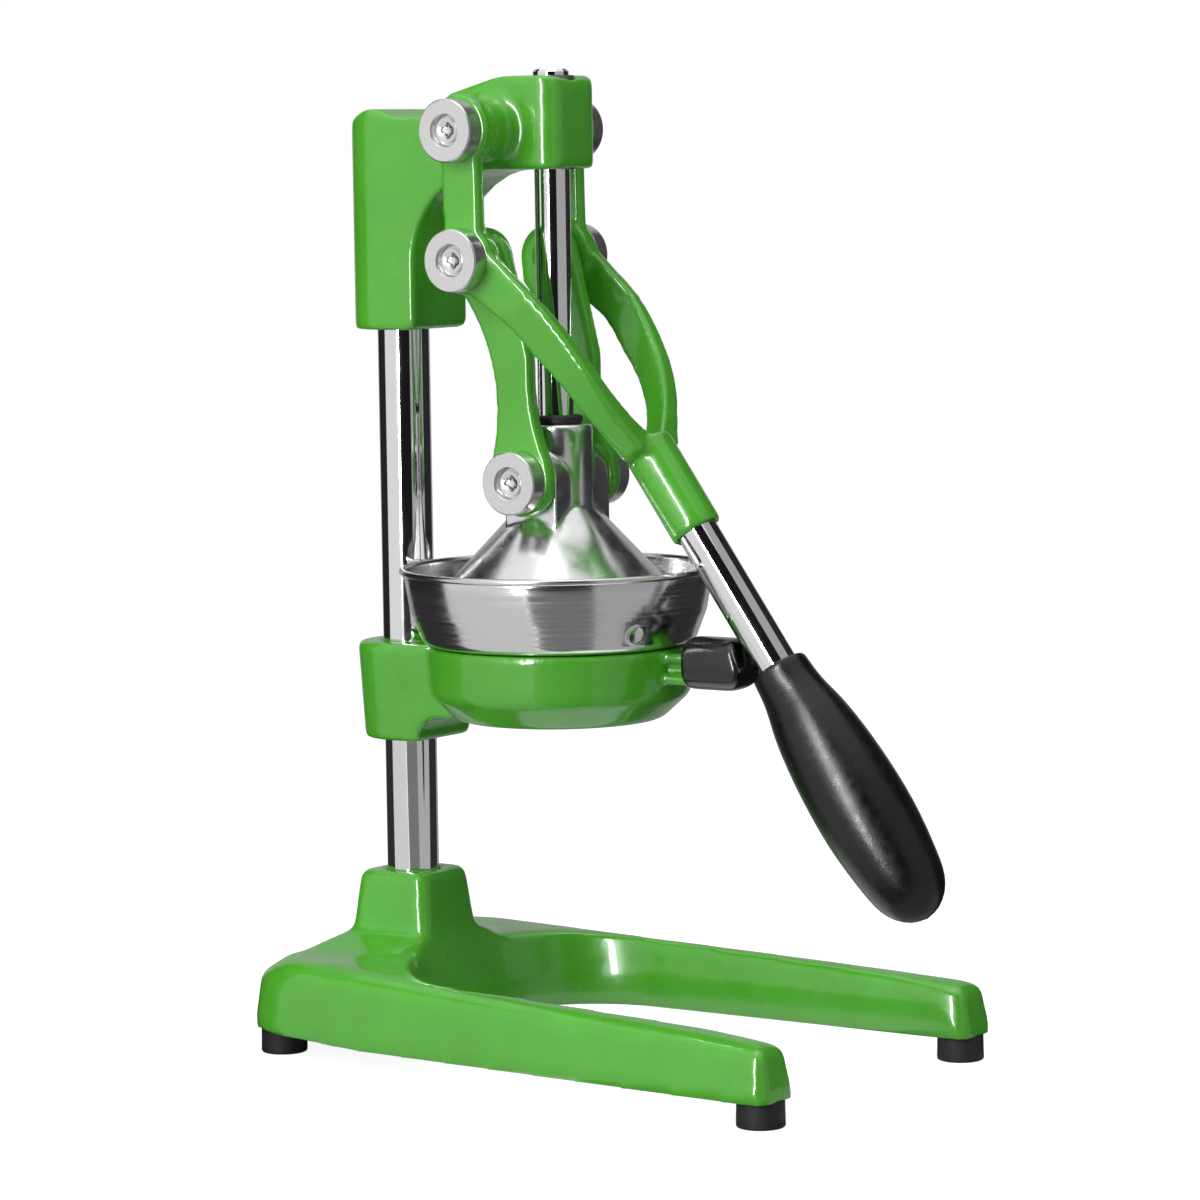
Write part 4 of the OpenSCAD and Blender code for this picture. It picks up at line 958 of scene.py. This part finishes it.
# How far out the sweeps and the strips stand, how high the sweeps are, how near the press their floor
# parts come as a share of that, and how far these lie over the floor
SWEEP_RADIUS, STRIP_RADIUS, SWEEP_HEIGHT = 1.6, 1.5, 1.8
SWEEP_NEAR, SWEEP_LIFT = 0.06, 0.4 * MM


def sweep(name, turn, spread, low, high, brightness, radius=SWEEP_RADIUS):
    """A card at a bearing round the press. It stands up, or where it has no top it lies on the floor and
    reaches up to the press."""
    stage = bpy.context.scene.press_stage
    edges = []
    for side in (-1, 1):
        bearing = math.radians(turn + side * spread) + stage.azimuth - math.pi / 2
        edges.append(Vector((math.cos(bearing), math.sin(bearing), 0)) * radius)
    if high is None:
        near = [edge * SWEEP_NEAR for edge in edges]
        lift = Vector((0, 0, SWEEP_LIFT))
        corners = [edges[0] + lift, edges[1] + lift, near[1] + lift, near[0] + lift]
    else:
        foot, top = Vector((0, 0, low)), Vector((0, 0, high))
        corners = [edges[0] + foot, edges[1] + foot, edges[1] + top, edges[0] + top]
    reflector(name, corners, brightness)


# Paper sweeps round the press: turn from the camera's side to the right in degrees, half the spread
# in degrees, brightness of the standing part and of the part on the floor
SWEEPS = {
    "sweep_left": (-60, 33, 0.8, 0.7),
    "flag_front": (0, 25, 0.01, 0.2),
    "sweep_right": (58, 33, 0.4, 0.45),
    "flag_right": (120, 29, 0.02, 0.03),
    "sweep_back": (180, 31, 0.4, 0.35),
    "flag_left": (-121, 28, 0.02, 0.03),
}
# Narrow bright cards: turn, half the spread, brightness, lower and upper end
STRIPS = {
    "strip_left": (-29, 3.2, 40, 0.1, 1.8),
    "strip_right": (38, 1.2, 3, 0, 1.8),
    "strip_side": (112, 4, 2.5, 0.14, 1.2),
}


class PRESS_OT_stage(bpy.types.Operator):
    """Makes the floor, the lights, the cards and the camera"""

    bl_idname = "press.stage"
    bl_label = "Stage"

    def execute(self, context):
        scene = context.scene
        stage = scene.press_stage
        scene.view_settings.view_transform = "Standard"
        deselect()
        bpy.ops.mesh.primitive_circle_add(vertices=96, radius=60, fill_type="NGON", location=(0, 0, 0))
        floor = context.active_object
        floor.name = "floor"
        floor.data.materials.append(floor_material(stage.floor_glow))
        if scene.world is None:
            scene.world = bpy.data.worlds.new("studio")
        light_world(scene.world, stage.world_fill)
        soft_light("key", stage.key_power, (1.2, 1.6), (-0.6, -1.95, 0.95))
        soft_light("top", stage.top_power, (1.4, 1.4), (-0.1, -0.1, 2.0))
        soft_light("fill", stage.fill_power, (0.9, 1.2), (2.0, -0.6, 1.2))
        for name, (turn, spread, brightness, floor_brightness) in SWEEPS.items():
            sweep(name, turn, spread, 0, SWEEP_HEIGHT, brightness)
            sweep(f"{name}_floor", turn, spread, 0, None, floor_brightness)
        for name, (turn, spread, brightness, low, high) in STRIPS.items():
            sweep(name, turn, spread, low, high, brightness, radius=STRIP_RADIUS)
        reflector("card_top", rectangle(0.25, 0.6, 1.9), 2.5)
        data = bpy.data.cameras.new("camera")
        data.sensor_fit = "HORIZONTAL"
        data.sensor_width = 36
        data.lens = stage.lens
        data.clip_end = 200
        camera = bpy.data.objects.new("camera", data)
        scene.collection.objects.link(camera)
        camera.matrix_world = camera_place(stage)
        scene.camera = camera
        return {"FINISHED"}


class PRESS_PT_panel(bpy.types.Panel):
    """Lists the steps that build the press"""

    bl_label = "Lever Citrus Press"
    bl_idname = "PRESS_PT_panel"
    bl_space_type = "VIEW_3D"
    bl_region_type = "UI"
    bl_category = "Press"

    def draw(self, context):
        for operator in OPERATORS:
            self.layout.operator(operator.bl_idname)


GROUPS = {"press_looks": PressLooks, "press_sizes": PressSizes, "press_stage": StageSettings}
OPERATORS = (
    PRESS_OT_stage,
    PRESS_OT_castings,
    PRESS_OT_cone,
    PRESS_OT_bars,
    PRESS_OT_pivots,
    PRESS_OT_bowl,
    PRESS_OT_handle,
    PRESS_OT_rubbers,
    PRESS_OT_fasteners,
)


def register():
    for cls in (*GROUPS.values(), *OPERATORS, PRESS_PT_panel):
        bpy.utils.register_class(cls)
    for name, group in GROUPS.items():
        setattr(bpy.types.Scene, name, bpy.props.PointerProperty(type=group))


def unregister():
    for name in GROUPS:
        delattr(bpy.types.Scene, name)
    for cls in reversed((*GROUPS.values(), *OPERATORS, PRESS_PT_panel)):
        bpy.utils.unregister_class(cls)


def main():
    register()
    for operator in OPERATORS:
        group, name = operator.bl_idname.split(".")
        getattr(getattr(bpy.ops, group), name)()


if __name__ == "__main__":
    main()
